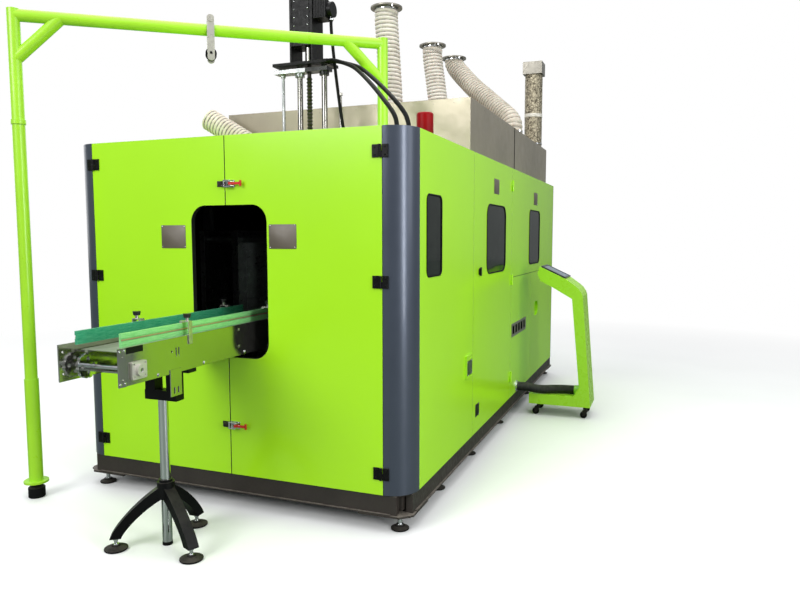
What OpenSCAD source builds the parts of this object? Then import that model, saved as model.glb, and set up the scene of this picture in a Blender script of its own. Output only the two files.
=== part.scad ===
// Stretch blow moulding machine in a green cabinet, with its roof gantry,
// exhaust hood and ducts, outfeed conveyor and operator console.
// Places inside the modules are measured from the cabinet's front right
// bottom corner: X runs to the right, Y to the rear, Z up from the floor.

/* [Cabinet] */
// Width across the front
cabinet_w = 2216; // [2100:2:2400]
// Length from the front doors to the rear panel
cabinet_len = 4784; // [4700:2:5200]
// Height of the panels' top edge above the floor
cabinet_h = 2150; // [2100:1:2300]
// Height of the panels' lower edge above the floor
panel_z = 209; // [205:1:240]
// Outer radius of the corner columns
column_r = 150; // [140:1:180]
// Thickness of the folded sheet
sheet = 2; // [1.5:0.1:3]
// Depth of the folded edge around a panel or door
fold_d = 34; // [25:1:35]
// Gap between neighbouring panels and doors
panel_gap = 6; // [5:0.5:10]
// Side of the frame's square tube
tube_w = 60; // [50:1:70]

/* [Base] */
// Height of the base channel's lower face
base_z = 100; // [80:1:120]
// Thickness of the base channel's web and flanges
channel_t = 8; // [6:1:12]
// Width of the base channel's flanges
channel_w = 60; // [50:1:80]
// Distance of the feet from the cabinet's sides
foot_inset = 90; // [80:1:110]
// Diameter of a foot's pad
pad_d = 100; // [80:1:120]
// Diameter of a foot's spindle
spindle_d = 24; // [16:1:30]

/* [Front doors] */
// Width of the outfeed opening
opening_w = 504; // [420:1:560]
// Height of the opening's lower edge
opening_z = 897; // [850:1:905]
// Height of the opening
opening_h = 866; // [700:1:900]
// Corner radius of the opening
opening_r = 95; // [40:1:120]
// Height of a door hinge
hinge_h = 66; // [50:1:90]
// Radius of a door hinge's barrel
hinge_r = 8; // [6:0.5:10]
// Height of the lower latch
latch_low_z = 504; // [400:1:700]
// Distance from the upper latch to the doors' top edge
latch_drop = 269; // [150:1:300]

/* [Side windows] */
// Height of the windows' lower edges
window_z = 1320; // [1250:1:1400]
// Height of the windows
window_h = 500; // [400:1:560]
// Thickness of the window panes
pane_t = 5; // [4:0.5:8]

/* [Hood and ducts] */
// Height of the exhaust hood above the roof
hood_h = 396; // [300:1:450]
// Distance from the front doors to the hood
hood_y = 1420; // [1400:1:1500]
// Length of the whole hood
hood_len = 3180; // [3100:1:3300]
// Height of the ceiling that the ducts reach
ceiling_z = 3450; // [3420:1:3600]
// Radius of the white ducts
duct_r = 98; // [85:1:105]
// Pitch of the ducts' corrugations
duct_pitch = 42; // [36:1:60]

/* [Gantry] */
// Diameter of the gantry tube
gantry_d = 70; // [60:1:76]
// Height of the beam's axis
beam_z = 2860; // [2820:1:2900]
// Length of the beam between the posts' axes
beam_len = 2200; // [2190:1:2230]
// Direction of the beam
beam_turn = 37.2; // [36.8:0.1:37.6]

/* [Stretch drive] */
// Diameter of the thick guide posts
post_d = 40; // [30:1:44]
// Diameter of the stretch rod
rod_d = 22; // [16:1:26]
// Travel of the crosshead
stretch_travel = 400; // [300:1:420]
// Side of the servo column
servo_w = 178; // [150:1:190]

/* [Mould] */
// Height of the moulded container
bottle_h = 470; // [400:1:500]
// Radius of the moulded container
bottle_r = 132; // [110:1:140]
// Travel of each mould half
mould_travel = 180; // [150:1:190]
// Diameter of the tie bars
tie_d = 50; // [40:1:60]

/* [Outfeed conveyor] */
// Width between the outer faces of the side plates
conveyor_w = 340; // [300:1:360]
// Height of the side plates
plate_h = 170; // [150:1:180]
// Height of the side plates' top edge above the floor
conveyor_z = 1105; // [1090:1:1120]
// Length of the conveyor
conveyor_len = 1400; // [1300:1:1450]
// Reach of the conveyor in front of the doors
conveyor_out = 1010; // [990:1:1020]
// Thickness of the side plates
plate_t = 4; // [3:0.5:6]
// Height of the guide rails
guide_h = 62; // [50:1:80]
// Diameter of the stand's pole
pole_d = 50; // [40:1:60]

/* [Console] */
// Width of the console
console_w = 350; // [300:1:360]
// Distance from the cabinet's side to the console's foot
console_gap = 108; // [95:1:130]
// Thickness of the console's sheet
console_t = 3; // [2:0.5:5]
// Diameter of the castor wheels
castor_d = 60; // [50:1:70]

/* [Hidden] */
$fn = 48;
eps = 0.5;
fit = 0.05;      // radial running clearance
seat = 0.3;      // gap between a moving piece and what it rests beside
rear_y = cabinet_len;
mid_x = -cabinet_w / 2;
base_top = panel_z - 4;
hinge_x = -column_r - 12;
hinge_y = -hinge_r - 1;
hinge_drop = 128;
hinge_zs = [panel_z + 118, cabinet_h / 2 + 275, cabinet_h - hinge_drop];
latch_high_z = cabinet_h - latch_drop;
foot_ys = [foot_inset, 744, 1489, 2406, 3595, rear_y - foot_inset];
pad_h = 25;
roof_t = 4;
roof_z = cabinet_h;
hood_x = -80;
hood_w = cabinet_w - 236;
hood_gap = 8;
hood_split = hood_y + 1470;
hood_t = 3;
flange_t = 12;
spigot_h = 30;
gantry_x = mid_x - 1232;
gantry_y = -270;
console_x = console_gap;
console_y = 2935;
near_x = mid_x + 148;
far_x = near_x - conveyor_w;
stretch_y = 1100;
rod_x = mid_x - 262;
post_xs = [mid_x - 127, mid_x + 65];
screw_x = mid_x - 52;
crosshead_z = roof_z + 579;
crosshead_t = 28;
top_plate_z = roof_z + 625;
top_plate_t = 20;
box_left = gantry_x - 70;
console_reach = 531;
box_right = console_x + console_reach;
box_front = -conveyor_out;
door_x1 = -column_r - 3;
door_x0 = mid_x + panel_gap / 2;
side_door = [1243, 2447];

// The frame's origin: the middle of the footprint, on the floor
module placed() {
    translate([-(box_left + box_right) / 2, -(box_front + rear_y) / 2, 0]) children();
}

// Mirror images about the cabinet's middle planes
module mirror_x() { translate([2 * mid_x, 0, 0]) mirror([1, 0, 0]) children(); }
module mirror_y() { translate([0, rear_y, 0]) mirror([0, 1, 0]) children(); }

// A flat outline in X and Z, given thickness t from y0 to the rear
module xz(y0, t) {
    translate([0, y0 + t, 0]) rotate([90, 0, 0]) linear_extrude(t) children();
}

// A flat outline in Y and Z, given thickness t from x0 to the right
module yz(x0, t) {
    translate([x0, 0, 0]) rotate([90, 0, 90]) linear_extrude(t) children();
}

// Rectangle with round corners from corner a to corner b
module round_rect(a, b, r) {
    translate([a[0] + r, a[1]]) square([b[0] - a[0] - 2 * r, b[1] - a[1]]);
    translate([a[0], a[1] + r]) square([b[0] - a[0], b[1] - a[1] - 2 * r]);
    for (u = [a[0] + r, b[0] - r], v = [a[1] + r, b[1] - r]) translate([u, v]) circle(r);
}

// Panel outline from a to b, drawn i inside its edge; holes are [a, b, r]
module panel_2d(a, b, holes, i) {
    difference() {
        translate([a[0] + i, a[1] + i]) square([b[0] - a[0] - 2 * i, b[1] - a[1] - 2 * i]);
        for (h = holes) round_rect(h[0] - [i, i], h[1] + [i, i], h[2] + i);
    }
}

// Panel with folded edges on a side of the cabinet, outer face at x = 0
module side_tray(a, b, depth, holes = [], cuts = []) {
    difference() {
        yz(-depth, depth) panel_2d(a, b, holes, 0);
        yz(-depth - eps, depth - sheet + eps) panel_2d(a, b, holes, sheet);
        for (h = cuts) yz(-sheet - 1, sheet + 2) round_rect(h[0], h[1], h[2]);
    }
}

// Door or panel with folded edges on the front, outer face at y = 0
module front_tray(a, b, depth, holes = []) {
    difference() {
        xz(0, depth) panel_2d(a, b, holes, 0);
        xz(sheet, depth) panel_2d(a, b, holes, sheet);
    }
}

// Points of a closed outline moved inward by d
function inward(p, d) = [for (i = [0:len(p) - 1])
    let (n = len(p), a = p[(i + n - 1) % n], b = p[i], c = p[(i + 1) % n],
         u = (b - a) / norm(b - a), v = (c - b) / norm(c - b),
         m = [-u[1] - v[1], u[0] + v[0]])
    b + m * d / (1 + u * v)];

// Points along a smooth curve through a list of points
function spline_at(p, i, t) = let (n = len(p),
    a = p[max(i - 1, 0)], b = p[i], c = p[min(i + 1, n - 1)], d = p[min(i + 2, n - 1)])
    0.5 * (2 * b + (c - a) * t + (2 * a - 5 * b + 4 * c - d) * t * t + (3 * b - a - 3 * c + d) * t * t * t);
function smooth(p, steps) = concat(
    [for (i = [0:len(p) - 2], s = [0:steps - 1]) spline_at(p, i, s / steps)], [p[len(p) - 1]]);
function direction(p, i) = let (d = p[min(i + 1, len(p) - 1)] - p[max(i - 1, 0)]) d / norm(d);
function side_of(d) = let (s = cross(d, sweep_up)) s / norm(s);
sweep_up = [0.6, 0.8, 0];

// Tube swept along points; radii holds one radius for each point, and the
// end rings face along the given start and end directions
module sweep_tube(p, radii, sides, start, end) {
    n = len(p);
    points = [for (i = [0:n - 1]) let (d = i == 0 ? start : i == n - 1 ? end : direction(p, i),
        s = side_of(d), w = cross(d, s))
        for (k = [0:sides - 1]) p[i] + radii[i] * (cos(360 * k / sides) * s + sin(360 * k / sides) * w)];
    skin = [for (i = [0:n - 2], k = [0:sides - 1]) let (j = (k + 1) % sides)
        [i * sides + k, (i + 1) * sides + k, (i + 1) * sides + j, i * sides + j]];
    ends = [[for (k = [0:sides - 1]) k], [for (k = [sides - 1:-1:0]) (n - 1) * sides + k]];
    polyhedron(points, concat(ends, skin), convexity = 4);
}

module cord(route, d, steps, sides, start, end) {
    p = smooth(route, steps);
    sweep_tube(p, [for (q = p) d / 2], sides, start, end);
}

// Flexible duct: a tube with a ridge at each turn of its wire
module flexible_duct(route, steps, sides = 14) {
    p = smooth(route, steps);
    sweep_tube(p, [for (i = [0:len(p) - 1]) i % 2 == 0 ? duct_r - 5 : duct_r], sides, [0, 0, 1], [0, 0, 1]);
}

// Base of welded channels, with corner plates, posts and the floor plate
module base_channel_2d() {
    difference() {
        square([channel_w, base_top - base_z]);
        translate([-1, channel_t]) square([channel_w - channel_t + 1, base_top - base_z - 2 * channel_t]);
    }
}
module base_side() {
    inset = 12;
    lip_t = 6;
    xz(column_r - 35, rear_y - 2 * column_r + 70) translate([-inset - channel_w, base_z]) base_channel_2d();
    translate([-inset - 1, column_r - 35, base_z]) cube([inset + 1, rear_y - 2 * column_r + 70, lip_t]);
    for (y = foot_ys)
        translate([-foot_inset - 50, y - 50, base_z - 10]) cube([foot_inset + 50 - inset, 100, 11]);
}
module base_end() {
    inset = 12;
    lip_t = 6;
    yz(2 * mid_x + column_r - 35, cabinet_w - 2 * column_r + 70)
        translate([inset + channel_w, base_z]) mirror([1, 0]) base_channel_2d();
    translate([2 * mid_x + column_r - 35, 0, base_z]) cube([cabinet_w - 2 * column_r + 70, inset + 1,
        lip_t]);
}
module base_corner() {
    plate_l = 300;
    plate_w = 140;
    post = 40;
    translate([0, 0, base_z - 10]) linear_extrude(11)
        polygon([[-plate_l, 0], [-60, 0], [0, 60], [0, plate_l], [-plate_w, plate_l],
                 [-plate_w, plate_w], [-plate_l, plate_w]]);
    for (p = [[-column_r + 30, 12], [-12 - post, column_r - 30 - post]])
        translate([p[0], p[1], base_z]) cube([post, post, base_top - base_z]);
}
module base_frame() color("#4a443f") placed() {
    for (m = [0, 1]) {
        if (m == 0) base_side(); else mirror_x() base_side();
        if (m == 0) base_end(); else mirror_y() base_end();
    }
    base_corner();
    mirror_x() base_corner();
    mirror_y() base_corner();
    mirror_x() mirror_y() base_corner();
    for (y = foot_ys)
        translate([2 * mid_x + 60, y - 40, base_top - 85]) cube([cabinet_w - 120, 80, 80]);
    c = 100;
    translate([0, 0, base_top - 5]) linear_extrude(5)
        polygon([[-c, 12], [-12, c], [-12, rear_y - c], [-c, rear_y - 12],
                 [2 * mid_x + c, rear_y - 12], [2 * mid_x + 12, rear_y - c],
                 [2 * mid_x + 12, c], [2 * mid_x + c, 12]]);
}

// Levelling feet: one place and size for each; [x, y, spindle top, pad, spindle]
stand_at = [mid_x - 40, -515];
stand_leg_r = 250;
stand_leg_turns = [92, 216, 336];
stand_feet = [for (a = stand_leg_turns)
    [stand_at[0] + stand_leg_r * cos(a), stand_at[1] + stand_leg_r * sin(a)]];
cabinet_feet = [for (x = [-foot_inset, 2 * mid_x + foot_inset], y = foot_ys) [x, y]];
stand_foot_z = 62;
stand_pad_d = 116;
stand_spindle_d = 18;
pole_cap_h = 17;
gantry_foot_h = 92;

module spindle(top, d, nut) {
    translate([0, 0, pad_h]) cylinder(h = top - pad_h, r = d / 2);
    translate([0, 0, top - 0.7 * d]) cylinder(h = 0.7 * d, r = nut / 2, $fn = 6);
    translate([0, 0, pad_h]) cylinder(h = 6, r = 0.75 * d);
}
module pad(d, d_top) {
    rotate_extrude() polygon([[0, 0], [d / 2 - 3, 0], [d / 2, 3], [d / 2, 9],
                              [d_top / 2 + 4, pad_h - 5], [d_top / 2, pad_h], [0, pad_h]]);
}
module foot_spindles() color("#c8ccd0") placed() {
    for (p = cabinet_feet) translate([p[0], p[1], 0]) spindle(base_z - 10, spindle_d, 40);
    for (p = stand_feet) translate([p[0], p[1], 0]) spindle(stand_foot_z, stand_spindle_d, 28);
}
module foot_pads() color("#151515") placed() {
    for (p = cabinet_feet) translate([p[0], p[1], 0]) pad(pad_d, 2 * spindle_d);
    for (p = stand_feet) translate([p[0], p[1], 0]) pad(stand_pad_d, 2 * stand_spindle_d);
    translate([stand_at[0], stand_at[1], 0]) cylinder(h = pole_cap_h, r = pole_d / 2 + 1);
    translate([gantry_x, gantry_y, 0]) rotate_extrude()
        polygon([[0, 0], [44, 0], [48, 5], [48, 60], [30, 74], [30, gantry_foot_h], [0, gantry_foot_h]]);
}

// Frame of square profiles, butted end to side with a joint gap
rail_z = roof_z - roof_t - tube_w;
post_ys = [1212, 2420, 3540];
joint = 0.2;
side_x = -fold_d - 6 - tube_w;
module profile(a, size) {
    slot = 10;
    translate(a) difference() {
        cube(size);
        if (size[2] > size[0] && size[2] > size[1])
            for (x = [0, size[0] - 3]) translate([x - eps, (size[1] - slot) / 2, -1])
                cube([3 + 2 * eps, slot, size[2] + 2]);
        else if (size[1] > size[0])
            for (z = [0, size[2] - 3]) translate([(size[0] - slot) / 2, -1, z - eps])
                cube([slot, size[1] + 2, 3 + 2 * eps]);
        else
            for (z = [0, size[2] - 3]) translate([-1, (size[1] - slot) / 2, z - eps])
                cube([size[0] + 2, slot, 3 + 2 * eps]);
    }
}
module frame_corner() {
    profile([-column_r, column_r - tube_w, base_top], [tube_w, tube_w, roof_z - roof_t - base_top]);
}
module frame_side() {
    y0 = column_r + joint;
    profile([side_x, y0, rail_z], [tube_w, rear_y - 2 * y0, tube_w]);
    for (y = post_ys) profile([side_x, y, base_top], [tube_w, tube_w, rail_z - joint - base_top]);
}
module frame_end() {
    x0 = 2 * mid_x + column_r + joint;
    profile([x0, fold_d + 6, rail_z], [-2 * (x0 - mid_x), tube_w, tube_w]);
}
module inner_frame() color("#9aa0a3") placed() {
    frame_corner();
    mirror_x() frame_corner();
    mirror_y() frame_corner();
    mirror_x() mirror_y() frame_corner();
    frame_side();
    mirror_x() frame_side();
    frame_end();
    mirror_y() frame_end();
    for (y = [post_ys[1], post_ys[2]])
        profile([2 * mid_x - side_x + joint, y, rail_z], [cabinet_w + 2 * side_x - 2 * joint, tube_w,
            tube_w]);
}

// Quarter-round columns with a leg to the corner post at each end
module column() {
    translate([-column_r, column_r, panel_z]) {
        translate([0, 0, 0]) linear_extrude(cabinet_h - panel_z) intersection() {
            difference() { circle(column_r, $fn = 96); circle(column_r - sheet, $fn = 96); }
            translate([0, -column_r]) square([column_r, column_r]);
        }
        translate([0, 0, cabinet_h - panel_z - roof_t]) linear_extrude(roof_t) intersection() {
            circle(column_r - sheet / 2, $fn = 96);
            translate([0, -column_r]) square([column_r, column_r]);
        }
        translate([0, -column_r, 0]) cube([sheet, column_r - tube_w, cabinet_h - panel_z]);
        translate([tube_w, -sheet, 0]) cube([column_r - tube_w, sheet, cabinet_h - panel_z]);
    }
}
module corner_columns() color("#2b3446") placed() {
    column();
    mirror_x() column();
    mirror_y() column();
    mirror_x() mirror_y() column();
}

// Roof tray inside the panels' folded edges, with holes for the rods and hoses
module roof_tray() difference() {
    edge = fold_d + 6;
    lap = 2;
    cut = column_r;
    translate([0, 0, roof_z - roof_t]) linear_extrude(roof_t) difference() {
        translate([2 * mid_x + edge - lap, edge]) square([cabinet_w - 2 * edge + lap,
            rear_y - 2 * edge + lap]);
        for (x = [2 * mid_x, -cut], y = [0, rear_y - cut]) translate([x, y]) square(cut);
    }
    translate([rod_x, stretch_y, roof_z - roof_t - 1]) cylinder(h = roof_t + 2, r = rod_d / 2 + 4);
    translate(sleeve_end) rotate([0, 120, 0]) cylinder(h = sleeve_l, r = sleeve_r - 9);
}

// Right side: a front panel, a rear panel and two low ones under it
right_front = [column_r + 3, side_door[0] - panel_gap];
right_rear = [side_door[1] + panel_gap, rear_y - column_r - 3];
cover_y = 3352;
cover_z = 1240;
window_front = [[263, window_z + 45], [528, window_z + window_h - 5], 38];
window_door = [[1600, window_z - 5], [2210, window_z + window_h], 85];
window_rear = [[3230, window_z + 5], [3780, window_z + window_h + 15], 60];
vent_a = [2500, 740];
vent_b = [3090, 830];
seam_gap = 4;
vent_room = 6;
vent_hole = [vent_a - [vent_room, vent_room], vent_b + [vent_room, vent_room], 2 * vent_room];
grip_a = [3544, 800];
grip_b = [3757, 940];

module side_hinge_half(top_half, dir) {
    h = 90;
    for (z = side_hinge_zs) translate([side_hinge_x, side_hinge_y, z]) {
        difference() {
            union() {
                translate([0, 0, top_half ? h / 2 + seat : 0]) cylinder(h = h / 2 - seat, r = hinge_r);
                translate([-side_hinge_x, dir > 0 ? 3.5 : -33.5, top_half ? h / 2 + seat : 0])
                    cube([2.5, 30, h / 2 - seat]);
                translate([-side_hinge_x, dir > 0 ? 0 : -6, top_half ? h / 2 + seat : 0])
                    cube([2.5, 6, h / 2 - seat]);
            }
            if (top_half) translate([0, 0, h / 2 - 1]) cylinder(h = h, r = hinge_r / 2 + fit);
        }
        if (!top_half) cylinder(h = h - 6, r = hinge_r / 2);
    }
}
side_hinge_x = hinge_r;
side_hinge_y = side_door[1] + panel_gap / 2;
side_hinge_zs = [panel_z + 141, cabinet_h / 2 + 105, cabinet_h - 190];

module right_panels() color("#9be022") placed() {
    side_tray([right_front[0], panel_z], [right_front[1], cabinet_h], fold_d + 6, [], [window_front]);
    side_tray([right_rear[0], cover_z + seam_gap], [right_rear[1], cabinet_h], fold_d + 6, [],
        [window_rear]);
    side_tray([right_rear[0], panel_z], [cover_y - seam_gap, cover_z], fold_d + 6, [], [vent_hole]);
    side_tray([cover_y, panel_z], [right_rear[1], cover_z], fold_d + 6, [], [[grip_a, grip_b, 60]]);
    yz(-26, 24) difference() {
        round_rect(grip_a - [3, 3], grip_b + [3, 3], 63);
        round_rect(grip_a, grip_b, 60);
    }
    yz(-28, 3) round_rect(grip_a - [3, 3], grip_b + [3, 3], 63);
    side_hinge_half(false, 1);
    socket_box();
}

// Panes behind the fixed windows, seated on the panels' inner faces
module pane(w) {
    lap = 22;
    yz(-sheet - pane_t, pane_t) round_rect(w[0] - [lap, lap], w[1] + [lap, lap], w[2] + lap);
}
module right_windows() color([0.35, 0.38, 0.38, 0.6]) placed() {
    pane(window_front);
    pane(window_rear);
}

// Elbow outlet for the console's cable
outlet_at = [2727, 262];
module cable_outlet() color("#cfd2d4") placed() translate([0, outlet_at[0], outlet_at[1]])
    rotate([0, 90, 0]) {
    cylinder(h = 5, r = outlet_r + 9);
    cylinder(h = outlet_l, r = outlet_r);
    for (a = [45:90:315]) rotate(a) translate([outlet_r + 4, 0, 4]) cylinder(h = 3, r = 3);
}

// Left side: plain panels between the frame posts
module left_side() mirror_x() {
    ys = [column_r + 3, post_ys[0] + tube_w / 2, post_ys[1] + tube_w / 2, post_ys[2] + tube_w / 2,
        rear_y - column_r - 3];
    for (i = [0:3])
        side_tray([ys[i] + (i > 0 ? panel_gap / 2 : 0), panel_z],
            [ys[i + 1] - (i < 3 ? panel_gap / 2 : 0), cabinet_h],
                  fold_d + 6);
}

// Rear side: two plain panels
module rear_side() mirror_y() {
    front_tray([door_x0, panel_z], [door_x1, cabinet_h], fold_d + 6);
    mirror_x() front_tray([door_x0, panel_z], [door_x1, cabinet_h], fold_d + 6);
}

module plain_panels() color("#8fd41f") placed() {
    left_side();
    rear_side();
    roof_tray();
}

// Recessed service socket with its frame and flap on the side panel
socket_a = [1047, 644];
socket_b = [1202, 800];
module socket_box() {
    difference() {
        yz(-1, 13) round_rect(socket_a, socket_b, 8);
        yz(4, 10) round_rect(socket_a + [14, 14], socket_b - [14, 14], 5);
    }
    yz(4, 6) round_rect(socket_a + [17, 17], socket_b - [17, 17], 4);
    for (y = [socket_a[0] + 34, socket_b[0] - 50]) translate([10, y, socket_b[1] - 32]) cube([3, 16, 12]);
}

// Vent grille: a frame with upright louvres
vent_slots = 5;
module vent_grille() color("#6f6a62") placed() {
    rim = 16;
    bar = 26;
    inner = vent_b[0] - vent_a[0] - 2 * rim;
    slot = (inner - (vent_slots - 1) * bar) / vent_slots;
    difference() {
        yz(0, 5) round_rect(vent_a - [12, 12], vent_b + [12, 12], 6);
        for (i = [0:vent_slots - 1])
            yz(-1, 8) translate([vent_a[0] + rim + i * (slot + bar), vent_a[1] + 8])
                square([slot, vent_b[1] - vent_a[1] - 16]);
    }
    for (i = [0:vent_slots - 1])
        translate([0, vent_a[0] + rim + i * (slot + bar) - 1, vent_a[1] + 7])
            linear_extrude(vent_b[1] - vent_a[1] - 14)
                polygon([[2, 0], [5, 0], [-12, slot * 0.55], [-15, slot * 0.55]]);
}

// Front doors with the outfeed opening shared between them
opening = [[mid_x - opening_w / 2 + 15, opening_z], [mid_x + opening_w / 2 + 15,
    opening_z + opening_h], opening_r];
rib_zs = [panel_z + 271, cabinet_h - 220];
module door_ribs(x0, x1) {
    for (z = rib_zs) translate([x0 + sheet, 0, z - 25]) difference() {
        translate([0, sheet, 0]) cube([x1 - x0 - 2 * sheet, 22, 50]);
        translate([-1, sheet - 1, sheet]) cube([x1 - x0, 21, 50 - 2 * sheet]);
    }
}
module door_right() color("#a2e62a") placed() {
    front_tray([door_x0, panel_z], [door_x1, cabinet_h], fold_d, [opening]);
    door_ribs(door_x0, door_x1);
}
module door_left() color("#a2e62a") placed() {
    front_tray([2 * mid_x - door_x1, panel_z], [2 * mid_x - door_x0, cabinet_h], fold_d, [opening]);
    mirror_x() door_ribs(door_x0, door_x1);
}

// Lift-off door hinges: the lower half with its pin on the column, the upper half on the door
leaf_t = 6;
leaf_w = 44;
module hinge_lower() {
    for (z = hinge_zs) translate([0, 0, z - hinge_h / 2]) {
        translate([hinge_x, hinge_y, 0]) {
            cylinder(h = hinge_h / 2, r = hinge_r);
            cylinder(h = hinge_h - 6, r = hinge_r / 2);
        }
        difference() {
            union() {
                translate([hinge_x, -leaf_t - 1, 0]) cube([12 + leaf_w - 12, leaf_t, hinge_h / 2]);
                translate([-column_r, -leaf_t - 1, 0]) cube([leaf_w - 12, leaf_t + 8, hinge_h]);
            }
            translate([-column_r, column_r, -1]) cylinder(h = hinge_h + 2, r = column_r + joint / 2,
                $fn = 96);
        }
    }
}
module hinge_upper() {
    for (z = hinge_zs) translate([0, 0, z - hinge_h / 2]) {
        difference() {
            union() {
                translate([hinge_x, hinge_y, hinge_h / 2 + seat]) cylinder(h = hinge_h / 2 - seat,
                    r = hinge_r);
                translate([hinge_x - leaf_w, -leaf_t, hinge_h / 2 + seat])
                    cube([leaf_w, leaf_t, hinge_h / 2 - seat]);
                translate([hinge_x - leaf_w, -leaf_t, 0]) cube([leaf_w - hinge_r - 2, leaf_t, hinge_h]);
            }
            translate([hinge_x, hinge_y, hinge_h / 2 - 1]) cylinder(h = hinge_h / 2 - 3,
                r = hinge_r / 2 + fit);
            translate([hinge_x, hinge_y, -1]) cylinder(h = hinge_h / 2 + 1 + seat, r = hinge_r + 1);
        }
    }
}
module hinge_frames() color("#17181a") placed() {
    hinge_lower();
    mirror_x() hinge_lower();
}
module hinge_leaves_right() color("#17181a") placed() hinge_upper();
module hinge_leaves_left() color("#17181a") placed() mirror_x() hinge_upper();

// Toggle latches: base with ears and clamp hook, lever with its grip, keeper
latch_pin_x = mid_x + 46;
latch_pin_y = -20;
ear_z = 11;
module latch_base(z) translate([0, 0, z]) {
    translate([door_x0 + 2, -4, -20]) cube([62, 4, 40]);
    for (s = [-1, 1]) translate([0, 0, s * ear_z - 2])
        linear_extrude(4) polygon([[door_x0 + 12, -4], [door_x0 + 58, -4], [latch_pin_x + 8, -28],
            [latch_pin_x - 8, -28]]);
    translate([latch_pin_x, latch_pin_y, -ear_z - 4]) cylinder(h = 2 * ear_z + 8, r = 4);
    for (s = [-1, 1]) translate([door_x0 + 1, -26, s * 17 - 3]) cube([latch_pin_x - door_x0, 6, 6]);
    for (s = [-1, 1]) translate([latch_pin_x - 5, -26, s * 17 - 3]) cube([8, 12, 6]);
    translate([door_x0 + 1, -26, -17]) cube([7, 6, 34]);
}
module latch_bases() color("#c9c9c4") placed() {
    latch_base(latch_low_z);
    latch_base(latch_high_z);
}
module latch_lever(z) translate([0, 0, z]) {
    difference() {
        translate([latch_pin_x, latch_pin_y, -8]) cylinder(h = 16, r = 9);
        translate([latch_pin_x, latch_pin_y, -9]) cylinder(h = 18, r = 4 + fit);
    }
    translate([latch_pin_x + 8, latch_pin_y - 5, -7]) cube([62, 8, 14]);
    translate([latch_pin_x + 66, latch_pin_y - 6, -16]) cube([9, 10, 32]);
}
module latch_lever_upper() color("#d8261c") placed() latch_lever(latch_high_z);
module latch_lever_lower() color("#d8261c") placed() latch_lever(latch_low_z);
module latch_keepers() color("#5b5a55") placed() {
    for (z = [latch_low_z, latch_high_z]) translate([0, 0, z]) {
        translate([2 * mid_x - door_x0 - 46, -4, -16]) cube([44, 4, 32]);
        translate([2 * mid_x - door_x0 - 22, -20, -12]) cube([18, 17, 24]);
        translate([2 * mid_x - door_x0 - 28, -24, -12]) cube([26, 6, 24]);
    }
}

// Side access door, its pane and its turn handle
handle_at = [1395, 1342];
module side_door() color("#9be022") placed() {
    difference() {
        side_tray([side_door[0], panel_z], [side_door[1], cabinet_h], fold_d, [], [window_door]);
        yz(-sheet - 1, sheet + 2) translate(handle_at) circle(9 + fit);
    }
    side_hinge_half(true, -1);
}
module side_door_window() color([0.35, 0.38, 0.38, 0.6]) placed() pane(window_door);
module side_door_handle() color("#151515") placed() translate([0, handle_at[0], handle_at[1]]) {
    rotate([0, 90, 0]) translate([0, 0, -14]) cylinder(h = 14 + seat, r = 9);
    rotate([0, 90, 0]) translate([0, 0, seat]) cylinder(h = 8, r = 24);
    yz(8, 8) round_rect([-14, -31], [14, 31], 13);
    yz(-14, 5) translate([-8, -8]) square([48, 16]);
}

// Exhaust hood: two folded covers with duct spigots
duct_at = [[mid_x + 165, hood_y + 680], [mid_x + 208, hood_y + 1880], [mid_x + 893, hood_y + 2010],
           [mid_x + 918, hood_y + hood_len - 230]];
spigot_lap = 10;
module hood_cover(y0, y1, spigots) {
    difference() {
        translate([hood_x - hood_w, y0, roof_z]) cube([hood_w, y1 - y0, hood_h]);
        translate([hood_x - hood_w + hood_t, y0 + hood_t, roof_z - 1])
            cube([hood_w - 2 * hood_t, y1 - y0 - 2 * hood_t, hood_h - hood_t + 1]);
        for (s = spigots) translate([s[0], s[1], roof_z]) cylinder(h = hood_h + 1, r = duct_r - 9);
    }
    for (s = spigots) translate([s[0], s[1], roof_z + hood_h - hood_t]) difference() {
        union() {
            cylinder(h = hood_t + spigot_h, r = duct_r - 5);
            cylinder(h = hood_t + 4, r = duct_r + spigot_lap);
        }
        translate([0, 0, -1]) cylinder(h = spigot_h + hood_t + 2, r = duct_r - 9);
    }
}
module hood() color("#b9b4a8") placed() {
    hood_cover(hood_y, hood_split - hood_gap / 2, [duct_at[0]]);
    hood_cover(hood_split + hood_gap / 2, hood_y + hood_len, [for (i = [1:3]) duct_at[i]]);
}

// White flexible ducts from the hood's spigots to the ceiling
duct_z0 = roof_z + hood_h + spigot_h;
duct_lean = [-41, -88, -722];
duct_back = [0, 0, 415];
function straight_route(i) = let (x = duct_at[i][0], y = duct_at[i][1], top = ceiling_z - flange_t)
    [[x, y, duct_z0], [x, y, duct_z0 + 45], [x, y, duct_z0 + 110], [x + duct_lean[i] / 2, y,
        (duct_z0 + top) / 2],
     [x + duct_lean[i], y, top - 110], [x + duct_lean[i], y, top - 45], [x + duct_lean[i], y, top]];
slanted_points = [[0, 0, 0], [0, 0, 20], [0, 0, 55], [-8, 5, 98], [-36, 21, 148], [-86, 49, 196],
    [-142, 81, 244], [-227, 130, 318], [-308, 177, 391], [-422, 242, 488], [-530, 305, 592],
    [-616, 355, 684], [-676, 389, 752], [-709, 408, 803], [-721, 415, 836], [-722, 415, 862]];
slanted_route = let (rise = (ceiling_z - flange_t - duct_z0) / slanted_points[len(slanted_points) - 1][2])
    [for (p = slanted_points) [duct_at[2][0] + p[0], duct_at[2][1] + p[1], duct_z0 + rise * p[2]]];
module white_ducts() color("#e4e1d8") placed() {
    flexible_duct(straight_route(0), 6);
    flexible_duct(straight_route(1), 6);
    flexible_duct(slanted_route, 5);
}

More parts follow.
